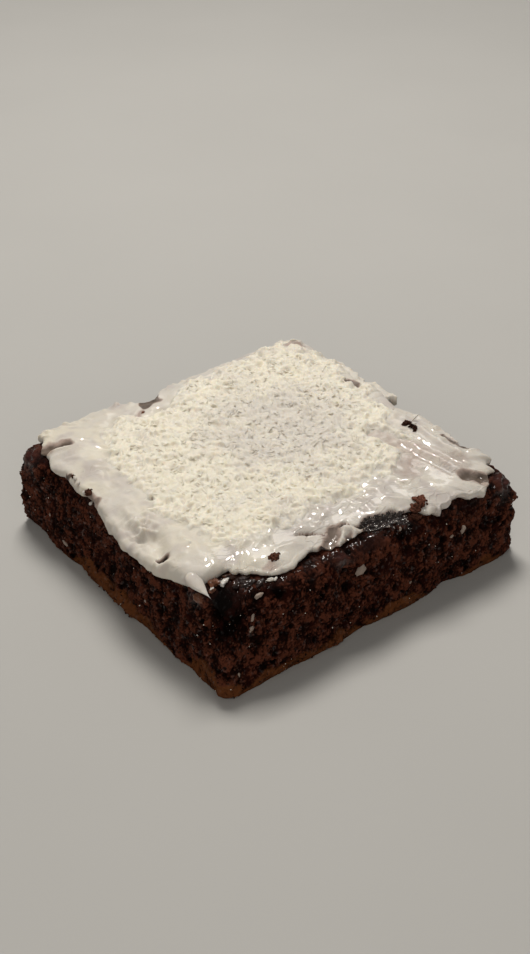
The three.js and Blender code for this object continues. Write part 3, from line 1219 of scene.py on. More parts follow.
@dataclass(frozen=True)
class StrewnArea:
    """Where coconut was strewn on the icing, and where it has drawn up moisture."""

    patches: Ripple = Ripple(3.0, 2.4, 23.0)
    sway_across: Ripple = Ripple(4.0, 8.0, 3.0)
    sway_along: Ripple = Ripple(4.0, 8.0, 13.0)
    half: float = 37.0
    left_bay: float = 6.0
    left_bay_run: Fade = Fade(12.0, 30.0)
    left_edge: Fade = Fade(0.0, 15.0)
    right_bay: float = 10.0
    right_bay_run: Fade = Fade(6.0, -18.0)
    right_edge: Fade = Fade(5.0, -9.0)
    front_edge: Fade = Fade(-30.0, -16.0)
    back: float = 25.0
    back_bulge: float = 4.0
    back_bulge_run: Fade = Fade(-6.0, 4.0)
    back_edge: Fade = Fade(11.0, 0.0)
    back_limit: Fade = Fade(37.4, 36.0)
    broken_corner: Pair = (-36.0, -36.0)
    corner_edge: Fade = Fade(11.0, 18.0)
    bare_spots: tuple[Spot, ...] = (
        Spot(-11.0, 30.0, 3.0, 1.0),
        Spot(-8.0, 31.2, 3.0, 1.0),
        Spot(-4.4, 33.2, 2.4, 1.0),
        Spot(-6.6, 36.0, 2.6, 1.0),
    )
    dry_middle: Pair = (9.0, 5.0)
    moist_ring: Fade = Fade(8.0, 24.0)
    moist_off_bed: float = 0.3
    moist_in_ring: float = 0.6
    moist_patches: Ripple = Ripple(0.4, 8.0)
    # Coconut and icing are coloured creamier and lighter towards the left.
    creamier_left: Fade = Fade(-8.0, -26.0)
    creamier_left_share: float = 0.2
    moist_everywhere: float = 0.1

    def share(self, flat: Array) -> Array:
        """Share of coconut: 1 in the strewn middle, 0 at the smooth rim.

        Args:
            flat: Places, one to a row.

        Returns:
            Shares.
        """
        deep = lifted(flat)
        patches = self.patches.at(deep)
        x = flat[:, 0] + self.sway_across.at(deep) + patches
        y = flat[:, 1] + self.sway_along.at(deep) + patches
        left = self.left_bay * self.left_bay_run.at(y) - self.half
        right = self.half - self.right_bay * self.right_bay_run.at(y)
        back = self.back + self.back_bulge * self.back_bulge_run.at(flat[:, 0])
        strewn = self.left_edge.at(x - left) * self.right_edge.at(x - right)
        strewn *= self.front_edge.at(y) * self.back_edge.at(y - back) * self.back_limit.at(flat[:, 1])
        strewn *= self.corner_edge.at(span_from(flat, self.broken_corner))
        return strewn * (1 - np.max([spot.strength(flat) for spot in self.bare_spots], axis=0))

    def moisture(self, flat: Array, bed: Array) -> Array:
        """Share of moist yellower coconut: a ring about the drier middle.

        Args:
            flat: Places, one to a row.
            bed: Share of coconut bed at the places.

        Returns:
            Shares, which may pass 0 and 1 a little.
        """
        ring = self.moist_ring.at(span_from(flat, self.dry_middle))
        ring *= self.moist_off_bed + (1 - self.moist_off_bed) * bed
        # Adds the creamier, lighter colour towards the left.
        left = self.creamier_left_share * self.creamier_left.at(flat[:, 0])
        return ring * self.moist_in_ring + self.moist_patches.at(lifted(flat)) + left + self.moist_everywhere


@dataclass(frozen=True)
class KnifeWork:
    """Relief of the icing's top: strokes of the knife, bumps, pits, ridges, grooves and a torn place."""

    right_across: Fade = Fade(12.0, 22.0)
    right_along: Fade = Fade(6.0, -6.0)
    front: Fade = Fade(-18.0, -26.0)
    far_right: Fade = Fade(30.0, 36.0)
    far_back: Fade = Fade(31.0, 37.0)
    warp: Ripple = Ripple(1.6, 6.0, 41.0)
    steady_ridges: float = 0.8
    swell: Ripple = Ripple(1.0, 5.5)
    swell_depth: float = 0.36
    swell_less_right: float = 0.1
    strokes: Ripple = Ripple(1.0, 2.4, 2.0)
    strokes_run: Triple = (0.35, 1.0, 1.0)
    right_strokes: Ripple = Ripple(1.0, 2.2, 5.0)
    right_strokes_run: Triple = (1.0, 0.25, 1.0)
    stroke_depth: float = 0.2
    stroke_less_right: float = 0.06
    stroke_less_front: float = 0.08
    grit: Ripple = Ripple(0.05, 1.0, 31.0)
    felt: tuple[Ripple, ...] = (Ripple(0.55, 3.8, 6.0), Ripple(0.6, 1.8, 8.0))
    felt_edge: Fade = Fade(0.0, 0.35)
    felt_rise: float = 0.15
    pips: Ripple = Ripple(1.0, 2.4, 21.0)
    pip_edge: Fade = Fade(0.1, 0.5)
    pip_height: float = 0.35
    pip_more_far: float = 0.4
    least_dry: float = 0.1
    tears: Ripple = Ripple(1.0, 1.6, 17.0)
    tear_level: float = 0.25
    torn_place: Spot = Spot(-36.6, -6.5, 4.0, 2.2)
    # A rise below 0 is a pit, and an amount below 0 a groove.
    bumps: tuple[Spot, ...] = (
        Spot(-29.6, 0.2, 0.7, -1.1),
        Spot(-28.7, 1.1, 0.7, 0.35),
        Spot(34.8, -31.0, 2.2, 0.4),
        Spot(36.4, -32.4, 0.8, 0.7),
        Spot(34.4, -28.6, 0.9, 0.3),
        Spot(36.0, -36.6, 4.0, -1.6),
        Spot(-38.4, 29.4, 5.0, -2.0),
        Spot(-32.5, 17.5, 1.8, 0.5),
        Spot(6.4, 32.2, 1.8, 0.5),
        Spot(-30.8, 28.0, 3.0, 0.5),
        Spot(-6.0, 35.6, 2.2, 0.6),
        Spot(22.0, -25.0, 4.0, -0.3),
        Spot(-21.5, -32.0, 1.4, 0.5),
        Spot(-25.4, -30.0, 1.2, 0.5),
    )
    ridges: tuple[Streak, ...] = (
        Streak((-12.9, -22.7), (-7.3, -24.5), 0.8, 0.3),
        Streak((-17.3, -24.5), (-15.0, -22.5), 0.8, 0.3),
        Streak((-19.4, -25.0), (-19.7, -27.3), 0.7, 0.25),
        Streak((-25.6, -24.7), (-23.2, -24.1), 0.8, 0.25),
        Streak((2.1, -25.7), (2.6, -30.0), 0.7, 0.3),
        Streak((4.0, -26.3), (4.7, -29.8), 0.6, 0.25),
        Streak((4.6, -31.0), (8.4, -32.4), 0.7, 0.3),
        Streak((9.0, -29.4), (11.7, -31.9), 0.6, 0.2),
        Streak((16.0, -33.6), (18.7, -34.4), 0.7, 0.25),
        Streak((-8.4, -27.4), (-6.0, -30.0), 0.6, 0.3),
        Streak((-7.1, -27.5), (-4.6, -26.3), 0.6, 0.3),
        Streak((-12.8, -26.6), (-9.6, -28.6), 0.6, 0.4),
        Streak((-12.6, -25.6), (-10.5, -27.1), 0.7, 0.3),
        Streak((-8.6, -28.0), (-7.4, -30.4), 0.7, 0.3),
        Streak((-19.9, -29.4), (-15.7, -30.0), 0.8, 0.3),
        Streak((-6.5, -27.0), (-4.8, -26.6), 0.7, 0.25),
        Streak((-35.6, 0.2), (-36.2, -5.3), 0.8, 0.6),
        Streak((-36.2, -5.3), (-37.0, -9.5), 0.7, 0.8),
        Streak((-38.4, -7.5), (-35.4, -9.6), 0.6, 1.0),
        Streak((-35.6, -11.2), (-37.0, -14.8), 1.5, -1.4),
        Streak((-38.2, -16.6), (-37.8, -17.4), 0.6, -1.5),
        Streak((-38.4, -18.8), (-35.3, -19.6), 0.9, 0.6),
        Streak((24.6, -14.0), (26.8, -31.0), 0.7, -0.25),
        Streak((26.6, -13.0), (28.6, -31.0), 0.8, 0.25),
        Streak((29.2, -14.0), (30.6, -31.5), 0.6, -0.3),
        Streak((33.2, -14.0), (32.0, -27.5), 1.0, 0.7),
        Streak((16.0, -28.0), (17.4, -30.3), 0.8, -0.3),
        Streak((17.4, -30.3), (20.0, -31.5), 0.9, -0.35),
        Streak((-33.0, 30.0), (-33.0, -22.0), 2.4, 0.35),
    )

    def spread(self, flat: Array, deep: Array, warped: Array) -> Array:
        """Relief of bare icing: a slow swell, and strokes that turn to run along the right side.

        Args:
            flat: Places, one to a row.
            deep: The places as points.
            warped: The points moved about, so that strokes bend.

        Returns:
            Heights.
        """
        right = self.right_across.at(flat[:, 0]) * self.right_along.at(flat[:, 1])
        strokes = (1 - right) * self.strokes.at(warped * np.array(self.strokes_run))
        strokes += right * self.right_strokes.at(warped * np.array(self.right_strokes_run))
        depth = self.stroke_depth - self.stroke_less_right * right
        depth -= self.stroke_less_front * self.front.at(flat[:, 1])
        swell = (self.swell_depth - self.swell_less_right * right) * self.swell.at(deep)
        return swell + depth * strokes + self.grit.at(deep)

    def relief(self, flat: Array, bed: Array, wet: Array) -> Array:
        """Relief of the icing's top.

        Args:
            flat: Places, one to a row.
            bed: Share of coconut bed at the places.
            wet: Share of wet icing at the places.

        Returns:
            Heights.
        """
        deep = lifted(flat)
        warped = deep + self.warp.at(deep)[:, None]
        felt = sum(layer.at(deep) for layer in self.felt)
        lumpy = self.felt_edge.at(bed)
        far = np.maximum(self.far_right.at(flat[:, 0]), self.far_back.at(flat[:, 1]))
        pips = (self.pip_height + self.pip_more_far * far) * self.pip_edge.at(self.pips.at(deep)) * (1 - bed)
        dry = np.maximum(1 - wet, far).clip(self.least_dry, 1.0)
        top = self.spread(flat, deep, warped) * (1 - lumpy) + felt * lumpy + self.felt_rise * bed + pips * dry
        bent = warped[:, :2] - self.steady_ridges * (warped - deep)[:, :2]
        marks = sum(bump.strength(flat) for bump in self.bumps)
        marks += sum(ridge.fold(bent) for ridge in self.ridges)
        return top + marks + (self.tear_level - np.abs(self.tears.at(deep))) * self.torn_place.strength(flat)


@dataclass(frozen=True)
class IcingEdge:
    """The run of the icing's edge: ragged at the front, even at the broken corner, rounder at the sides."""

    even_place: Pair = (-40.0, -36.0)
    even_reach: Fade = Fade(20.0, 13.0)
    blur: float = 2.4
    even_blur: float = 7.0
    even_tip_blur: float = 4.0
    foot_blur: float = 3.0
    off_left: Fade = Fade(-39.0, -34.0)
    left_ragged: float = 0.25
    right: Fade = Fade(33.0, 37.0)
    right_back: Fade = Fade(-30.0, -20.0)
    right_even: float = 0.5
    fingers: Ripple = Ripple(1.0, 2.6, 5.0)
    finger_length: float = 1.2
    finger_root: float = 0.1
    teeth: Ripple = Ripple(0.4, 1.3, 1.0)
    foot_waves: Ripple = Ripple(0.3, 2.0, 7.0)
    tip_droop: float = 0.2
    lip: float = 0.9
    least_lip: float = 0.5
    lip_waves: Ripple = Ripple(0.8, 5.0, 2.0)
    left: Fade = Fade(-33.0, -39.0)
    left_lip: float = 0.7
    right_lip: float = 1.2
    right_lip_run: Fade = Fade(32.0, 38.0)
    spike: Pair = (-40.0, -30.0)
    spike_lip: float = 2.0
    spike_reach: Fade = Fade(10.0, 3.0)
    soft_corners: tuple[Spot, ...] = (
        Spot(-40.0, 31.0, 6.0, 2.6),
        Spot(39.5, -38.5, 7.0, 2.6),
    )
    # A rise below 0 is a bay in the edge.
    tips: tuple[Spot, ...] = (
        Spot(-40.0, -34.0, 5.0, -2.5),
        Spot(-40.0, -31.6, 3.0, -2.2),
        Spot(-40.0, -31.0, 4.0, -3.0),
        Spot(-33.0, -39.5, 8.0, 1.6),
        Spot(-22.0, -39.5, 5.0, -1.4),
        Spot(40.0, -34.0, 1.4, 0.6),
        Spot(39.5, -38.5, 6.0, 3.0),
        Spot(-35.0, 39.5, 2.0, 0.8),
        Spot(-40.0, 30.0, 5.0, 2.2),
        Spot(-40.0, 33.0, 5.0, 1.6),
        Spot(16.3, -39.5, 1.2, 1.2),
        Spot(25.5, -39.5, 1.6, 0.7),
        Spot(29.0, -39.5, 1.4, 0.6),
    )

    def even(self, places: Array) -> Array:
        """Share of even edge at places: 1 about the broken corner."""
        return self.even_reach.at(span_from(places, self.even_place))

    def roughened(self, places: Array, rim: Array, foot: Array) -> tuple[Array, Array]:
        """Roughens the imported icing's edge.

        Args:
            places: Places round the cake's outline.
            rim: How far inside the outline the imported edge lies.
            foot: Height of its foot.

        Returns:
            The same two for the modelled edge.
        """
        even = self.even(places)
        rim = blurred(rim, self.blur, 0, True) * (1 - even) + blurred(rim, self.even_blur, 0, True) * even
        foot = blurred(foot, self.foot_blur, 0, True)
        deep = lifted(places)
        ragged = (self.off_left.at(places[:, 0]) * (1 - self.left_ragged) + self.left_ragged) * (1 - even)
        ragged *= 1.0 - self.right_even * self.right.at(places[:, 0]) * self.right_back.at(places[:, 1])
        fingers = np.maximum(self.fingers.at(deep), 0.0) - self.finger_root
        rim -= ragged * (self.finger_length * fingers + self.teeth.at(deep))
        push = sum(tip.peak(places) for tip in self.tips)
        push = push * (1 - even) + blurred(push, self.even_tip_blur, 0, True) * even
        foot += self.foot_waves.at(deep) - self.tip_droop * np.maximum(push, 0.0)
        return rim - push, foot

    def lips(self, places: Array) -> Array:
        """Width of the round lip.

        Args:
            places: Places round the cake's outline.

        Returns:
            Widths.
        """
        wider = self.left_lip * self.left.at(places[:, 0])
        wider += self.right_lip * self.right_lip_run.at(places[:, 0])
        wider += self.spike_lip * self.spike_reach.at(span_from(places, self.spike))
        wider += sum(corner.strength(places) for corner in self.soft_corners)
        waves = self.lip_waves.at(lifted(places)) * (1 - self.even(places))
        return np.maximum(self.lip + wider + waves, self.least_lip)


@dataclass
class Icing:
    """The icing spread on the cake, with its lips, pits and thin places."""

    plan: Plan
    cake: Cake
    thin: ThinPlaces = ThinPlaces()
    damp: WetPlaces = WetPlaces()
    strewn: StrewnArea = StrewnArea()
    knife: KnifeWork = KnifeWork()
    edge: IcingEdge = IcingEdge()
    around: int = 840
    lip_rows: int = 14
    undercut: float = -0.5
    band_rows: int = 36
    band_share: float = 0.68
    middle_rows: int = 54
    stand_off: float = 8.0
    low: float = 16.6
    high: float = 23.6
    level_step: float = 0.25
    edge_band: float = 0.9
    hidden_rows: tuple[Pair, ...] = ((6.0, 2.4), (1.6, 0.9))
    grid_half: float = 44.0
    grid_step: float = 1.0
    grid_blur: float = 1.4
    film_thickness: float = 0.3
    film_bares_bed: Fade = Fade(0.4, 0.15)
    thread_height: float = 0.8
    front: Fade = Fade(-33.0, -37.0)
    feather: float = 0.1
    front_feather: float = 0.45
    feather_reach: float = 2.4
    film_lip: float = 0.5
    least_thickness: float = 0.4
    film_sinks_lip: float = 0.35
    crest_blur: float = 9.0
    crest_fade: Fade = Fade(0.72, 1.0)
    lip_grit: Ripple = Ripple(0.25, 1.1, 3.0)
    hem_thin: float = 0.3

    def __post_init__(self) -> None:
        """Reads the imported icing's height on a grid."""
        self.probe = Probe.of_node("icing")
        self.axis = np.arange(-self.grid_half, self.grid_half + self.grid_step, self.grid_step)
        across, along = np.meshgrid(self.axis, self.axis, indexing="ij")
        level = self.probe.height(np.column_stack([across.ravel(), along.ravel()])).reshape(across.shape)
        known = np.isfinite(level).astype(float)
        tiny = 1e-6
        spread = [np.nan_to_num(level) * known, known + tiny]
        for axis in (0, 1):
            spread = [blurred(grid, self.grid_blur, axis, False) for grid in spread]
        self.level = spread[0] / spread[1]

    def smooth_height(self, flat: Array) -> Array:
        """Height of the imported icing's surface, without its facets.

        Args:
            flat: Places, one to a row.

        Returns:
            Heights.
        """
        spot = (flat - self.axis[0]) / self.grid_step
        cell = np.clip(spot.astype(int), 0, len(self.axis) - 2)
        part = spot - cell
        corner = [self.level[cell[:, 0] + i, cell[:, 1] + j] for i in (0, 1) for j in (0, 1)]
        low = corner[0] * (1 - part[:, 1]) + corner[1] * part[:, 1]
        high = corner[2] * (1 - part[:, 1]) + corner[3] * part[:, 1]
        return low * (1 - part[:, 0]) + high * part[:, 0]

    def bed(self, flat: Array) -> Array:
        """Share of coconut bed at places: none where the icing is a film."""
        return self.strewn.share(flat) * self.film_bares_bed.at(self.thin.film(flat))

    def picked(self, count: int, half: float, draw: Draws) -> Array:
        """Picks places on the coconut bed, the more the thicker it lies.

        Args:
            count: The most places to pick.
            half: Half the side of the square to pick in.
            draw: Source of random draws.

        Returns:
            The places.
        """
        tries = 4
        middles = draw.uniform(-half, half, (tries * count, 2))
        return middles[draw.random(len(middles)) < self.bed(middles)][:count]

    def moisture(self, flat: Array) -> Array:
        """Share of moist yellower coconut at places."""
        return self.strewn.moisture(flat, self.bed(flat))

    def height(self, flat: Array) -> Array:
        """Height of the modelled surface, laid down on the cake where it is a film.

        Args:
            flat: Places, one to a row.

        Returns:
            Heights.
        """
        level = self.smooth_height(flat) + self.knife.relief(flat, self.bed(flat), self.damp.share(flat))
        bare = self.cake.skin.height(flat) + self.film_thickness
        bare = np.where(np.isfinite(bare), bare, level)
        level = level + np.minimum(bare - level, 0.0) * self.thin.sinking(flat)
        return np.maximum(level, bare) + self.thread_height * self.thin.strand(flat)

    def traced(self, places: Array, outward: Array) -> tuple[Array, Array]:
        """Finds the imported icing's edge, and roughens it.

        Args:
            places: Places round the cake's outline.
            outward: Unit directions outwards there.

        Returns:
            How far inside the outline the edge lies, and the height of its foot.
        """
        levels = np.arange(self.low, self.high, self.level_step)
        start = places + outward * self.stand_off
        inwards = lifted(-outward)
        scans = np.array([self.probe.travel(lifted(start, level), inwards) for level in levels])
        travel = np.nan_to_num(scans - self.stand_off, nan=2 * self.plan.reach)
        rim = travel.min(axis=0)
        foot = levels[(travel < rim + self.edge_band).argmax(axis=0)]
        return self.edge.roughened(places, rim, foot)

    def build(self) -> Object:
        """Models and dresses the icing.

        Returns:
            The finished piece.
        """
        places, _, outward = self.plan.outline(self.around)
        rim, foot = self.traced(places, outward)
        lip = self.edge.lips(places)
        lip *= 1.0 - self.film_lip * self.thin.film(places - outward * (rim + lip)[:, None])
        front = self.front.at(places[:, 1])
        feather = self.feather + self.front_feather * front * (1 - self.edge.left.at(places[:, 0]))
        crest = places - outward * (rim + lip)[:, None]
        eased = np.column_stack([blurred(crest[:, axis], self.crest_blur, 0, True) for axis in (0, 1)])
        least = foot + self.least_thickness - self.film_sinks_lip * self.thin.sinking(crest)
        crest_height = np.maximum(self.height(crest) - feather, least)
        rows, hem = [], []
        for back, drop in self.hidden_rows:
            rows.append(np.column_stack([places - outward * (rim + back)[:, None], foot - drop]))
            hem.append(self.hem_thin * front)
        low = math.sin(self.undercut)
        for turn in np.linspace(self.undercut, math.pi / 2, self.lip_rows)[:-1]:
            travel = rim + lip * (1 - math.cos(turn))
            share = (math.sin(turn) - low) / (1 - low)
            row = np.column_stack([places - outward * travel[:, None], foot + (crest_height - foot) * share])
            row[:, :2] += outward * (self.lip_grit.at(row) * math.cos(turn))[:, None]
            rows.append(row)
            hem.append(self.hem_thin * front * (1 - share))
        band = np.linspace(1.0, self.band_share, self.band_rows, endpoint=False)
        middle = np.linspace(self.band_share, 0.0, self.middle_rows, endpoint=False)
        reach = np.linalg.norm(crest, axis=1)
        for share in np.concatenate([band, middle]):
            near = self.crest_fade.at(share)
            flat = (crest * near + eased * (1 - near)) * share
            level = self.height(flat) - feather * np.exp(-(1 - share) * reach / self.feather_reach)
            rows.append(np.column_stack([flat, np.maximum(level, crest_height) if share == 1.0 else level]))
            hem.append(0 * front)
        bottom = foot.min() - self.hidden_rows[-1][1]
        ends = np.array([[0.0, 0.0, bottom], [0.0, 0.0, self.height(np.zeros((1, 2)))[0]]])
        points = np.vstack([*rows, ends])
        flat = points[:, :2]
        mesh = Mesh()
        mesh.add(
            points,
            ring_faces(len(rows), self.around),
            bed=self.bed(flat),
            thin=np.maximum(self.thin.film(flat), np.append(np.concatenate(hem), [0.0, 0.0])),
            wet=self.damp.share(flat),
            tint=self.moisture(flat),
        )
        self.skin = mesh.probe()
        return mesh.piece("icing_spread", IcingFinish().material(), Slot.ICING, "icing")


def ground_height(icing: Icing, cake: Cake, flat: Array) -> Array:
    """Height of whatever lies on top at places, once icing and cake are built."""
    heights = np.stack([icing.skin.height(flat), cake.skin.height(flat)])
    return np.nan_to_num(heights, nan=0.0).max(axis=0)


@dataclass(frozen=True)
class Shreds:
    """Sizes of the coconut's shreds, and how they lie."""

    length: Pair = (1.0, 2.8)
    half_width: Pair = (0.2, 0.36)
    crown: Pair = (0.16, 0.32)
    lift: Pair = (0.05, 0.55)
    bend: float = 0.8

    def taper(self, stations: int, pointed: float) -> Array:
        """Shares of its full width along a shred, with ends that are narrower by a share."""
        return 1.0 - pointed * np.abs(np.linspace(-1.0, 1.0, stations)) ** 3

    def lines(self, middles: Array, stations: int, draw: Draws) -> tuple[Array, Array]:
        """Draws the middle lines of shreds.

        Args:
            middles: Where they lie, one to a row.
            stations: Points along each shred.
            draw: Source of random draws.

        Returns:
            The points and headings along each shred.
        """
        count = len(middles)
        length = draw.uniform(*self.length, count)
        turn = draw.uniform(0.0, 2 * math.pi, count)
        bend = draw.normal(0.0, self.bend, count)
        heading = turn[:, None] + bend[:, None] * np.linspace(-0.5, 0.5, stations)
        arms = np.stack([np.cos(heading), np.sin(heading)], axis=-1)
        line = np.cumsum(arms * (length / (stations - 1))[:, None, None], axis=1)
        return line - line.mean(axis=1, keepdims=True) + middles[:, None, :], arms


@dataclass
class CoconutBed:
    """Fine shredded coconut that is felted together and lies in the icing."""

    icing: Icing
    shreds: Shreds = Shreds()
    seed: int = 7
    half: float = 40.0
    step: float = 0.22
    count: int = 9500
    spacing: float = 0.26
    least_bed: float = 0.04
    sunk: float = 0.5
    bottom: float = 18.5
    pointed: float = 0.5
    end_reach: float = 1.2
    least_pile: float = 0.15
    pile_blur: float = 0.7
    full_bed: float = 0.75
    shred_tints: float = 0.5
    # Pile heights over which the colour goes from the painted gap shade to the coconut's own.
    gap_to_top: Fade = Fade(0.1, 0.6)

    def emboss(self, axis: Array, draw: Draws) -> tuple[Array, Array]:
        """Lays the shreds over a grid, the highest on top.

        Args:
            axis: The grid's lines, the same both ways.
            draw: Source of random draws.

        Returns:
            Height of the pile in each cell, and one draw for the shred on top there.
        """
        middles = self.icing.picked(self.count, self.half, draw)
        count = len(middles)
        stations = math.ceil(self.shreds.length[1] / self.spacing)
        trail, arms = self.shreds.lines(middles, stations, draw)
        spans = (self.shreds.half_width, self.shreds.crown, self.shreds.lift)
        half, crown, lift = (draw.uniform(*span, count) for span in spans)
        draws = draw.random(count)
        width = half[:, None] * self.shreds.taper(stations, self.pointed)
        reach = math.ceil(self.shreds.half_width[1] / self.step)
        window = np.arange(-reach, reach + 1)
        offsets = np.stack(np.meshgrid(window, window, indexing="ij"), axis=-1).reshape(-1, 2)
        cells = np.rint((trail - axis[0]) / self.step).astype(int)[:, :, None, :] + offsets
        away = axis[0] + cells * self.step - trail[:, :, None, :]
        side = away[..., 0] * arms[:, :, None, 1] - away[..., 1] * arms[:, :, None, 0]
        share = np.abs(side) / width[:, :, None]
        rise = lift[:, None, None] + crown[:, None, None] * np.sqrt(np.clip(1.0 - share**2, 0.0, 1.0))
        near = np.linalg.norm(away, axis=-1) < self.end_reach * half[:, None, None]
        inside = (share < 1.0) & near & ((cells >= 0) & (cells < len(axis))).all(axis=-1)
        order = np.argsort(rise[inside])
        places = (cells[..., 0] * len(axis) + cells[..., 1])[inside][order]
        owners = np.broadcast_to(draws[:, None, None], rise.shape)[inside][order]
        pile, tops = np.zeros(len(axis) ** 2), np.full(len(axis) ** 2, 0.5)
        pile[places] = rise[inside][order]
        tops[places] = owners
        return pile.reshape(len(axis), -1), tops.reshape(len(axis), -1)

    def faces(self, grid: Array) -> tuple[Array, Array]:
        """Faces of a grid's used part.

        Args:
            grid: Which of the grid's points are used.

        Returns:
            The quads, and the edges round their rim.
        """
        kept = grid[:-1, :-1] & grid[1:, :-1] & grid[1:, 1:] & grid[:-1, 1:]
        numbers = np.arange(grid.size).reshape(grid.shape)
        corners = [numbers[:-1, :-1], numbers[1:, :-1], numbers[1:, 1:], numbers[:-1, 1:]]
        framed = np.pad(kept, 1)
        beyond = [framed[1:-1, :-2], framed[2:, 1:-1], framed[1:-1, 2:], framed[:-2, 1:-1]]
        rims = []
        for i, outside in enumerate(beyond):
            edge = kept & ~outside
            rims.append(np.stack([corners[(i + 1) % 4][edge], corners[i][edge]], axis=-1))
        return np.stack([corner[kept] for corner in corners], axis=-1), np.vstack(rims)

    def build(self) -> Object:
        """Models and dresses the bed, closed underneath.

        Returns:
            The finished piece.
        """
        draw = np.random.default_rng(self.seed)
        axis = np.arange(-self.half, self.half + self.step, self.step)
        pile, tops = self.emboss(axis, draw)
        for side in (0, 1):
            pile = blurred(np.maximum(pile, self.least_pile), self.pile_blur, side, False)
        across, along = np.meshgrid(axis, axis, indexing="ij")
        flat = np.column_stack([across.ravel(), along.ravel()])
        bed = self.icing.bed(flat)
        used = bed > self.least_bed
        quads, rim = self.faces(used.reshape(across.shape))
        live = np.unique(quads)
        weight = smoothstep(self.least_bed, self.full_bed, bed[live])
        heap = pile.ravel()[live]
        level = self.icing.height(flat[live]) + heap * weight - self.sunk * (1 - weight)
        renumber = np.full(len(flat), -1)
        renumber[live] = np.arange(len(live))
        hem, turns = np.unique(rim, return_inverse=True)
        below = turns.reshape(rim.shape) + len(live)
        skirt = np.column_stack([renumber[rim], below[:, ::-1]])
        base = np.column_stack([below, np.full(len(rim), len(live) + len(hem))])
        under = lifted(np.vstack([flat[hem], flat[live].mean(axis=0)]), self.bottom)
        none = np.zeros(len(under))
        varied = self.shred_tints * (tops.ravel()[live] - 0.5)
        tint = np.clip(self.icing.moisture(flat[live]) + varied, 0.0, 1.0)
        mesh = Mesh()
        mesh.add(
            np.vstack([np.column_stack([flat[live], level]), under]),
            [renumber[quads], skirt, base],
            tint=np.append(tint, none),
            relief=np.append(self.gap_to_top.at(heap), none),
            bed=np.append(weight, none),
        )
        self.skin = mesh.probe()
        return mesh.piece("coconut_bed", CoconutFinish().material(), Slot.ICING)


class Side(Enum):
    """Cut sides that the camera sees, by the way a ray goes to meet them."""

    FRONT = (0.0, 1.0)
    LEFT = (1.0, 0.0)


@dataclass(frozen=True)
class Flake:
    """A flake of coconut on a cut side: how far along the side and how high it lies, and its size."""

    side: Side
    run: float
    level: float
    half: float
    turn: float


@dataclass(frozen=True)
class Sliver:
    """A thin shred that stands up: where, how long, and which way it leans."""

    x: float
    y: float
    length: float
    turn: float
    tilt: float


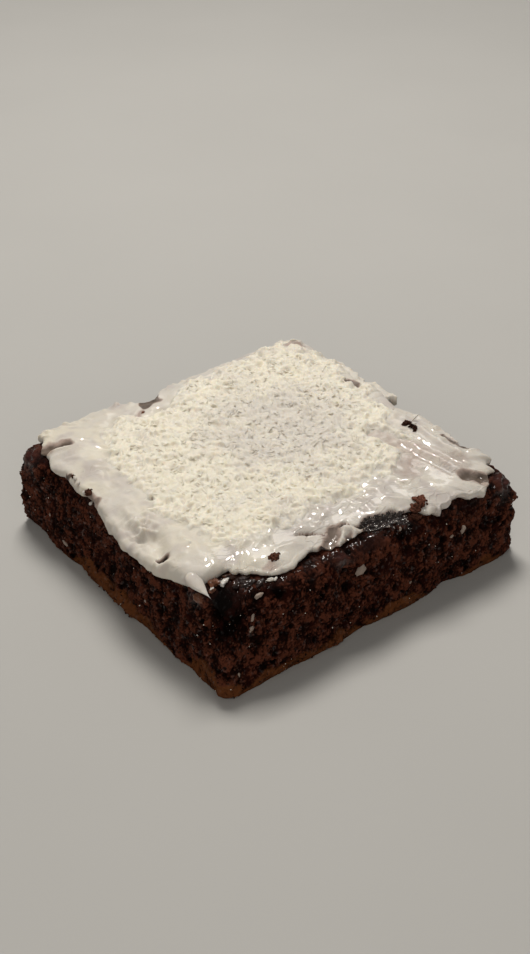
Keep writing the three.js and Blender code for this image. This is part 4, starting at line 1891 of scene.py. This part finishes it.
@dataclass
class LooseCoconut:
    """Single shreds on top of the bed, slivers that stand up, and flakes and specks on the cut sides, the pale
    specks partly painted glints.
    """

    icing: Icing
    cake: Cake
    bed: CoconutBed
    shreds: Shreds = Shreds()
    seed: int = 17
    count: int = 1500
    # Pale coconut specks on the cut sides, which also stand in for glints there: a painted highlight.
    specks: int = 160
    speck_size: Pair = (0.06, 0.17)
    sliver_half: float = 0.18
    stations: int = 4
    pointed: float = 0.55
    slimmer: float = 0.75
    flatter: float = 0.4
    follow: float = 0.5
    sink: Pair = (0.0, 0.14)
    rim_sink: float = 0.2
    lean: float = 0.28
    lean_on_bed: Fade = Fade(0.4, 1.0)
    sliver_sink: float = 0.2
    flake_width: float = 0.55
    flake_thickness: Pair = (0.3, 0.1)
    flake_rough: float = 0.5
    # Relief mark that turns the flakes on the cut sides darker grey.
    flake_greying: float = -0.6
    speck_shape: Pair = (0.6, 1.4)
    speck_rough: float = 0.2
    speck_shade: Pair = (0.0, 0.3)
    section: tuple[Pair, ...] = (
        (-1.0, -0.5),
        (-0.7, 0.5),
        (0.0, 1.0),
        (0.7, 0.5),
        (1.0, -0.5),
    )
    flakes: tuple[Flake, ...] = (
        Flake(Side.FRONT, -4.6, 15.2, 1.5, 0.6),
        Flake(Side.FRONT, -30.6, 15.0, 0.8, 1.2),
        Flake(Side.FRONT, -31.6, 13.1, 0.7, 0.9),
        Flake(Side.FRONT, 22.3, 13.8, 1.0, 1.3),
        Flake(Side.FRONT, 19.2, 13.4, 0.5, 0.4),
        Flake(Side.FRONT, 6.7, 19.3, 0.5, 1.4),
        Flake(Side.FRONT, -28.9, 19.3, 0.9, 0.2),
        Flake(Side.FRONT, -36.0, 5.0, 0.5, 1.5),
        Flake(Side.FRONT, 8.0, 6.5, 0.4, 0.3),
        Flake(Side.LEFT, 19.6, 4.4, 0.8, 0.3),
        Flake(Side.LEFT, 25.9, 8.3, 0.4, 0.8),
        Flake(Side.LEFT, -12.0, 8.0, 0.4, 0.2),
    )
    slivers: tuple[Sliver, ...] = (
        Sliver(34.0, -10.3, 2.4, -0.3, 0.75),
        Sliver(32.6, -10.8, 2.2, -1.2, 0.3),
        Sliver(30.6, -11.6, 2.0, -0.6, 0.35),
        Sliver(33.2, -13.4, 1.8, 2.4, 0.4),
        Sliver(34.6, -3.6, 2.0, -2.4, 0.5),
    )

    def tubes(self, mesh: Mesh, spine: Array, half: Array, crown: Array, tint: Array) -> None:
        """Adds shreds along their middle lines.

        Args:
            mesh: Mesh to add to.
            spine: Points along each shred.
            half: Half width of each.
            crown: Height of each above its middle line.
            tint: Moisture of each.
        """
        taper = self.shreds.taper(self.stations, self.pointed)
        ahead = np.gradient(spine, axis=1)
        ahead /= np.linalg.norm(ahead, axis=-1, keepdims=True)
        side = np.cross(np.array([0.0, 0.0, 1.0]), ahead)
        side /= np.linalg.norm(side, axis=-1, keepdims=True)
        up = np.cross(ahead, side)
        corners = []
        for wide, high in self.section:
            reach = (wide * half[:, None] * taper)[..., None]
            rise = (high * crown[:, None] * taper)[..., None]
            corners.append(spine + side * reach + up * rise)
        points = np.stack(corners, axis=2).reshape(-1, 3)
        ring = len(self.section)
        corner = np.arange(ring)
        following = (corner + 1) % ring
        rows = np.arange(self.stations - 1)[:, None] * ring
        after = rows + ring
        quads = np.stack([rows + following, rows + corner, after + corner, after + following], axis=-1)
        caps = np.stack([corner, (self.stations - 1) * ring + corner[::-1]])
        starts = np.arange(len(spine))[:, None, None] * (ring * self.stations)
        faces = [(part[None] + starts).reshape(-1, part.shape[1]) for part in (quads.reshape(-1, 4), caps)]
        ones = np.ones(len(points))
        mesh.add(points, faces, tint=np.repeat(tint, ring * self.stations), relief=ones, bed=ones)

    def scatter(self, mesh: Mesh, draw: Draws) -> None:
        """Adds single shreds on top of the bed, and the slivers.

        Args:
            mesh: Mesh to add to.
            draw: Source of random draws.
        """
        middles = self.icing.picked(self.count, self.bed.half, draw)
        trail, _ = self.shreds.lines(middles, self.stations, draw)
        count = len(trail)
        places = trail.reshape(-1, 2)
        ground = np.fmax(self.bed.skin.height(places), self.icing.skin.height(places)).reshape(count, -1)
        level = self.follow * ground + (1 - self.follow) * np.nanmean(ground, axis=1, keepdims=True)
        half = draw.uniform(*self.shreds.half_width, count) * self.slimmer
        crown = draw.uniform(*self.shreds.crown, count) * self.flatter
        weight = self.icing.bed(middles)
        level = level - (draw.uniform(*self.sink, count) + self.rim_sink * (1 - weight))[:, None]
        lean = draw.normal(0.0, self.lean, count) * self.lean_on_bed.at(weight)
        level = level + lean[:, None] * np.linspace(-1.0, 1.0, self.stations)
        spine = np.concatenate([trail, level[..., None]], axis=-1)
        self.tubes(mesh, spine, half, crown, np.clip(self.icing.moisture(middles), 0.0, 1.0))
        share = np.linspace(0.0, 1.0, self.stations)[:, None]
        stems = []
        for sliver in self.slivers:
            ground = ground_height(self.icing, self.cake, np.array([[sliver.x, sliver.y]]))[0]
            root = np.array([sliver.x, sliver.y, ground - self.sliver_sink])
            way = np.array([math.cos(sliver.turn), math.sin(sliver.turn), math.tan(sliver.tilt)])
            way *= math.cos(sliver.tilt)
            stems.append(root + share * way * sliver.length)
        thin = np.full(len(stems), self.sliver_half)
        self.tubes(mesh, np.array(stems), thin, thin, 0 * thin)

    def strew_sides(self, mesh: Mesh, draw: Draws) -> None:
        """Adds the flakes and specks on the cut sides.

        Args:
            mesh: Mesh to add to.
            draw: Source of random draws.
        """
        ball = Ball(fineness=3)
        thicker, least = self.flake_thickness
        for flake in self.flakes:
            inward = np.array([*flake.side.value, 0.0])
            along = np.array([inward[1], inward[0], 0.0])
            start = along * flake.run + np.array([0.0, 0.0, flake.level]) - inward * FAR
            travel = self.cake.skin.travel(start[None], inward[None])[0]
            sizes = (flake.half, self.flake_width * flake.half, thicker * flake.half + least)
            shaped = ball.torn(sizes, flake.turn, self.flake_rough, flake.run)
            axes = np.array([along, [0.0, 0.0, 1.0], -inward])
            points = shaped @ axes + start + inward * travel
            ones = np.ones(len(points))
            mesh.add(points, [ball.faces], tint=0 * ones, relief=self.flake_greying * ones, bed=ones)
        # Pale specks: coconut crumbs that also serve as painted glints.
        grain = Ball(fineness=1)
        picked = draw.integers(0, len(self.cake.side_points), self.specks)
        sizes = draw.uniform(*self.speck_size, (self.specks, 1))
        sizes = sizes * draw.uniform(*self.speck_shape, (self.specks, 3))
        points, faces = grain.lumps(self.cake.side_points[picked], sizes, self.speck_rough, draw)
        ones = np.ones(len(points))
        shade = np.repeat(draw.uniform(*self.speck_shade, self.specks), len(grain.points))
        mesh.add(points, [faces], tint=0 * ones, relief=shade, bed=ones)

    def build(self) -> Object:
        """Models and dresses the loose coconut.

        Returns:
            The finished piece.
        """
        draw = np.random.default_rng(self.seed)
        mesh = Mesh()
        self.scatter(mesh, draw)
        self.strew_sides(mesh, draw)
        return mesh.piece("loose_coconut", CoconutFinish("loose_coconut", 0.0).material(), Slot.ICING)


@dataclass(frozen=True)
class Clump:
    """A clot of crumbs on the top, and how much of it stands clear."""

    x: float
    y: float
    half: float
    count: int
    tint: float
    clear: float = 0.0


@dataclass
class LooseCrumbs:
    """Crumbs that stick to the cut sides and lie on the icing."""

    icing: Icing
    cake: Cake
    seed: int = 11
    on_sides: int = 2600
    size: Pair = (0.12, 0.32)
    shape: Pair = (0.6, 1.2)
    sink: Pair = (-0.16, 0.06)
    rough: float = 0.16
    foot_room: float = 1.2
    tints: Pair = (0.0, 0.75)
    clump_shape: Triple = (1.0, 0.8, 0.7)
    clump_rough: float = 0.7
    knot_depth: float = 0.85
    knot_size: Pair = (0.16, 0.4)
    knot_shape: Pair = (0.7, 1.2)
    knot_rough: float = 0.18
    knot_tints: float = 0.15
    strays: int = 6
    stray_spread: float = 0.5
    stray_floor: float = 19.0
    clumps: tuple[Clump, ...] = (
        Clump(14.0, -34.6, 1.25, 90, 0.9, 0.35),
        Clump(12.5, -35.0, 1.1, 70, 0.8, 0.25),
        Clump(11.9, -36.0, 0.9, 50, 0.7, 0.1),
        Clump(31.9, -11.2, 1.1, 14, 0.3, 0.1),
        Clump(31.9, -12.6, 0.8, 8, 0.2, 0.0),
        Clump(31.7, -13.9, 0.7, 8, 0.25, 0.1),
        Clump(-21.6, -31.4, 1.1, 20, 0.75, -0.1),
        Clump(-37.3, 18.0, 0.5, 12, 0.5),
        Clump(-37.6, 11.3, 0.8, 20, 0.6),
    )

    def on_cut_sides(self, mesh: Mesh, ball: Ball, draw: Draws) -> None:
        """Adds the crumbs that stick to the cut sides.

        Args:
            mesh: Mesh to add to.
            ball: Ball that they are shaped from.
            draw: Source of random draws.
        """
        picked = draw.integers(0, len(self.cake.side_points), self.on_sides)
        sink = draw.uniform(*self.sink, (self.on_sides, 1))
        middles = self.cake.side_points[picked] + self.cake.side_normals[picked] * sink
        sizes = draw.uniform(*self.size, (self.on_sides, 1)) * draw.uniform(*self.shape, (self.on_sides, 3))
        middles[:, 2] = np.maximum(middles[:, 2], self.foot_room * sizes.max(axis=1))
        points, faces = ball.lumps(middles, sizes, self.rough, draw)
        tints = draw.uniform(*self.tints, self.on_sides)
        mesh.add(points, [faces], tint=np.repeat(tints, len(ball.points)))

    def on_top(self, mesh: Mesh, ball: Ball, draw: Draws) -> None:
        """Adds the clots that lie on the icing, with knots on them and stray crumbs about them.

        Args:
            mesh: Mesh to add to.
            ball: Ball that knots and strays are shaped from.
            draw: Source of random draws.
        """
        chunk = Ball(fineness=4)
        for clump in self.clumps:
            middle = np.array([clump.x, clump.y])
            ground = ground_height(self.icing, self.cake, middle[None])[0]
            halves = tuple(share * clump.half for share in self.clump_shape)
            shaped = chunk.torn(halves, clump.x, self.clump_rough, clump.y)
            seat = np.array([*middle, ground + clump.clear * clump.half])
            points = shaped + seat
            mesh.add(points, [chunk.faces], tint=np.full(len(points), clump.tint))
            knots = seat + self.knot_depth * shaped[draw.integers(0, len(points), clump.count)]
            knots = knots[knots[:, 2] > ground]
            flat = middle + draw.normal(0.0, self.stray_spread * clump.half, (clump.count // self.strays, 2))
            heights = ground_height(self.icing, self.cake, flat).clip(self.stray_floor)
            spots = np.vstack([knots, np.column_stack([flat, heights])])
            sizes = draw.uniform(*self.knot_size, (len(spots), 1))
            sizes = sizes * draw.uniform(*self.knot_shape, (len(spots), 3))
            points, faces = ball.lumps(spots, sizes * min(clump.half, 1.0), self.knot_rough, draw)
            tints = np.clip(draw.normal(clump.tint, self.knot_tints, len(spots)), 0.0, 1.0)
            mesh.add(points, [faces], tint=np.repeat(tints, len(ball.points)))

    def build(self) -> Object:
        """Models and dresses the crumbs.

        Returns:
            The finished piece.
        """
        draw = np.random.default_rng(self.seed)
        ball = Ball(fineness=1)
        mesh = Mesh()
        self.on_cut_sides(mesh, ball, draw)
        self.on_top(mesh, ball, draw)
        return mesh.piece("loose_crumbs", BitFinish().material(), Slot.CRUMB)


@dataclass(frozen=True)
class Scrap:
    """A torn scrap.

    It has a place, half sizes, a turn, a shade, a lift off the ground or a level of its own, and it may be
    pointed, pitched and smooth.
    """

    x: float
    y: float
    sizes: Triple
    turn: float
    shade: float = 0.0
    lift: float = 0.2
    level: Optional[float] = None
    point: float = 0.0
    pitch: float = 0.0
    smooth: float = 0.0

    def shape(self, ball: Ball, rough: float, icing: Icing, cake: Cake) -> Array:
        """Shapes the scrap on whatever lies under it.

        Args:
            ball: Ball that it is shaped from.
            rough: Depth of its bays, as a share of its size.
            icing: The icing, already built.
            cake: The cake, already built.

        Returns:
            Its points.
        """
        level = self.level
        if level is None:
            level = ground_height(icing, cake, np.array([[self.x, self.y]]))[0] + self.lift
        shaped = ball.torn(self.sizes, 0.0, rough * (1 - self.smooth), self.x)
        share = shaped[:, 1] / self.sizes[1]
        slimmest, widest, full_width = 0.05, 1.6, 0.3
        taper = np.clip(1.0 + self.point * (share - full_width), slimmest, widest)
        shaped[:, [0, 2]] *= taper[:, None]
        shaped[:, 2] += self.pitch * shaped[:, 1]
        return turned(shaped, self.turn) + np.array([self.x, self.y, level])


@dataclass
class IcingScraps:
    """White scraps of icing that were dragged off at the front corner and along the cut left edge."""

    icing: Icing
    cake: Cake
    rough: float = 0.5
    wet: float = 0.6
    scraps: tuple[Scrap, ...] = (
        Scrap(-37.2, -28.1, (1.6, 3.5, 1.0), 0.05, 0.0, 0.0, 20.7, 0.8, 0.25, 0.9),
        Scrap(-32.0, -29.2, (1.3, 0.55, 0.35), 0.3),
        Scrap(-33.0, -29.8, (0.5, 0.4, 0.3), 1.4),
        Scrap(-35.4, -29.7, (0.5, 0.3, 0.25), 0.4),
        Scrap(-25.0, -34.6, (0.9, 0.3, 0.3), -0.4, 0.0, 0.0, 20.4),
        Scrap(-24.0, -34.9, (0.6, 0.28, 0.28), 0.5, 0.0, 0.0, 20.4),
        Scrap(-37.5, 17.0, (0.6, 0.35, 0.4), 1.2),
        Scrap(-37.8, 15.2, (0.5, 0.3, 0.4), 0.5),
        Scrap(-38.0, 12.8, (0.5, 0.3, 0.4), 0.7),
        Scrap(-38.1, 9.9, (0.5, 0.35, 0.3), 0.2),
    )

    def build(self) -> Object:
        """Models and dresses the scraps.

        Returns:
            The finished piece.
        """
        ball = Ball(fineness=4)
        mesh = Mesh()
        for scrap in self.scraps:
            points = scrap.shape(ball, self.rough, self.icing, self.cake)
            none = np.zeros(len(points))
            thin, wet = none + scrap.shade, none + self.wet
            mesh.add(points, [ball.faces], bed=none, thin=thin, wet=wet, tint=none)
        return mesh.piece("icing_scraps", IcingFinish("icing_scrap").material(), Slot.ICING)


@dataclass
class CrustScales:
    """Scales of shiny top skin that broke up at the front corner."""

    icing: Icing
    cake: Cake
    rough: float = 0.6
    scraps: tuple[Scrap, ...] = (
        Scrap(-33.9, -28.4, (1.4, 1.0, 0.7), 0.8, 0.65, 0.2),
        Scrap(-35.6, -30.0, (0.7, 0.5, 0.4), 0.2, 0.5, 0.1),
        Scrap(-30.4, -28.8, (1.2, 0.8, 0.6), -0.4, 0.35, 0.2),
        Scrap(-28.7, -30.6, (1.5, 1.1, 0.4), 0.1, 0.1, 0.0),
        Scrap(-28.9, -32.6, (1.4, 0.9, 0.4), -0.3, 0.05, 0.0),
        Scrap(-30.8, -31.4, (1.0, 0.7, 0.4), 0.6, 0.15, 0.0),
        Scrap(-26.8, -33.8, (1.3, 0.6, 0.3), 0.2, 0.05, 0.0),
        Scrap(-38.0, -28.6, (0.7, 1.4, 0.7), 0.1, 0.8, 0.0, 18.6),
        Scrap(-11.6, 30.0, (0.5, 0.3, 0.2), 0.1, 1.0, 0.0),
    )

    def build(self) -> Object:
        """Models and dresses the scales.

        Returns:
            The finished piece.
        """
        ball = Ball(fineness=4)
        mesh = Mesh()
        for scrap in self.scraps:
            points = scrap.shape(ball, self.rough, self.icing, self.cake)
            mesh.add(points, [ball.faces], tint=np.full(len(points), scrap.shade))
        return mesh.piece("crust_scales", CrustFinish().material(), Slot.CRUMB)


@dataclass
class BubblyFilm:
    """Small bubbles in the thin wet film along the front edge."""

    icing: Icing
    cake: Cake
    seed: int = 3
    count: int = 1500
    start: Pair = (0.2, -32.6)
    end: Pair = (9.8, -35.2)
    spread: float = 1.1
    size: Pair = (0.07, 0.24)
    # Share of milky bubbles, whose white also stands in for glints, a painted highlight.
    milky_glint_share: float = 0.06
    least_film: float = 0.5
    tries: int = 3
    rough: float = 0.02

    def build(self) -> Object:
        """Models and dresses the bubbles.

        Returns:
            The finished piece.
        """
        draw = np.random.default_rng(self.seed)
        share = draw.random((self.tries * self.count, 1))
        flat = np.array(self.start) * (1 - share) + np.array(self.end) * share
        flat = flat + draw.normal(0.0, self.spread, flat.shape)
        flat = flat[self.icing.thin.film(flat) > self.least_film][: self.count]
        size = self.size[0] + (self.size[1] - self.size[0]) * draw.random(len(flat)) ** 2
        middles = np.column_stack([flat, ground_height(self.icing, self.cake, flat)])
        ball = Ball(fineness=2)
        points, faces = ball.lumps(middles, np.repeat(size[:, None], 3, axis=1), self.rough, draw)
        mesh = Mesh()
        # Milky bubbles: their white is partly a painted highlight for glints.
        milky_glint = (draw.random(len(flat)) < self.milky_glint_share).astype(float)
        mesh.add(points, [faces], tint=np.repeat(milky_glint, len(ball.points)))
        return mesh.piece("bubbly_film", FilmFinish().material(), Slot.ICING)


@dataclass(frozen=True)
class Lamp:
    """A square soft light: where it hangs and the length of its side, in metres, its power and its use."""

    name: str
    place: Triple
    side: float
    watts: float
    use: Light

    def hang(self, target: Vector, hue: Colour) -> None:
        """Hangs the light.

        Args:
            target: What it faces.
            hue: Colour of its light.
        """
        lamp = bpy.data.lights.new(self.name, "AREA")
        lamp.size = self.side
        lamp.energy = self.watts
        lamp.color = hue
        holder = bpy.data.objects.new(self.name, lamp)
        holder.location = self.place
        holder.rotation_mode = "QUATERNION"
        holder.rotation_quaternion = (target - Vector(self.place)).to_track_quat("-Z", "Y")
        holder.visible_glossy = self.use is Light.SHINE
        holder.visible_diffuse = self.use is Light.SHADE
        bpy.context.scene.collection.objects.link(holder)


@dataclass
class Studio:
    """Floor, lights and the camera of the picture."""

    floor_half: float = 3.0
    focal: float = 51.96
    sensor: float = 36.0
    azimuth: float = -37.3
    elevation: float = 34.05
    distance: float = 0.3112
    roll: float = -0.55
    target: Triple = (0.00415, 0.00515, 0.011)
    hue: Colour = (1.0, 0.97, 0.92)
    clip_start: float = 0.01
    room_hue: Colour = (1.0, 0.98, 0.95)
    room_strength: float = 0.14
    lamps: tuple[Lamp, ...] = (
        Lamp("softbox", (0.16, 0.30, 0.72), 0.26, 5.65, Light.SHADE),
        Lamp("fill", (-0.34, -0.42, 0.35), 0.50, 1.1, Light.SHADE),
        Lamp("lamp", (0.26, 0.28, 0.58), 0.046, 1.2, Light.SHINE),
        Lamp("sheen", (0.36, 0.44, 0.50), 0.26, 0.32, Light.SHINE),
        Lamp("spark", (-0.28, -0.20, 0.55), 0.03, 0.2, Light.SHINE),
    )

    def floor(self) -> None:
        """Lays the pale floor."""
        half = self.floor_half
        mesh = bpy.data.meshes.new("floor")
        corners = [(-half, -half, 0.0), (half, -half, 0.0), (half, half, 0.0), (-half, half, 0.0)]
        mesh.from_pydata(corners, [], [(0, 1, 2, 3)])
        mesh.materials.append(FloorFinish().material())
        floor = bpy.data.objects.new("floor", mesh)
        bpy.context.scene.collection.objects.link(floor)

    def camera(self) -> None:
        """Sets the camera at the photograph's viewing angle."""
        azimuth, elevation = math.radians(self.azimuth), math.radians(self.elevation)
        flat = math.cos(elevation)
        back = Vector((math.sin(azimuth) * flat, -math.cos(azimuth) * flat, math.sin(elevation)))
        data = bpy.data.cameras.new("camera")
        data.lens = self.focal
        data.sensor_width = self.sensor
        data.clip_start = self.clip_start
        camera = bpy.data.objects.new("camera", data)
        camera.location = Vector(self.target) + back * self.distance
        camera.rotation_mode = "QUATERNION"
        tilt = Quaternion((0.0, 0.0, 1.0), math.radians(self.roll))
        camera.rotation_quaternion = (-back).to_track_quat("-Z", "Y") @ tilt
        bpy.context.scene.collection.objects.link(camera)
        bpy.context.scene.camera = camera

    def build(self) -> None:
        """Sets up the whole studio."""
        self.camera()
        self.floor()
        for lamp in self.lamps:
            lamp.hang(Vector(self.target), self.hue)
        scene = bpy.context.scene
        scene.view_settings.view_transform = "Standard"
        world = bpy.data.worlds.new("room")
        world.use_nodes = True
        backdrop = world.node_tree.nodes["Background"]
        backdrop.inputs["Color"].default_value = (*self.room_hue, 1.0)
        backdrop.inputs["Strength"].default_value = self.room_strength
        scene.world = world


def main() -> None:
    """Builds the brownie and its studio, and notes the sizes."""
    logging.basicConfig(level=logging.INFO, format="%(name)s %(message)s")
    plan = Plan()
    Studio().build()
    cake = Cake(plan)
    cake.build()
    icing = Icing(plan, cake)
    icing.build()
    bed = CoconutBed(icing)
    bed.build()
    LooseCoconut(icing, cake, bed).build()
    LooseCrumbs(icing, cake).build()
    IcingScraps(icing, cake).build()
    CrustScales(icing, cake).build()
    BubblyFilm(icing, cake).build()


if __name__ == "__main__":
    main()
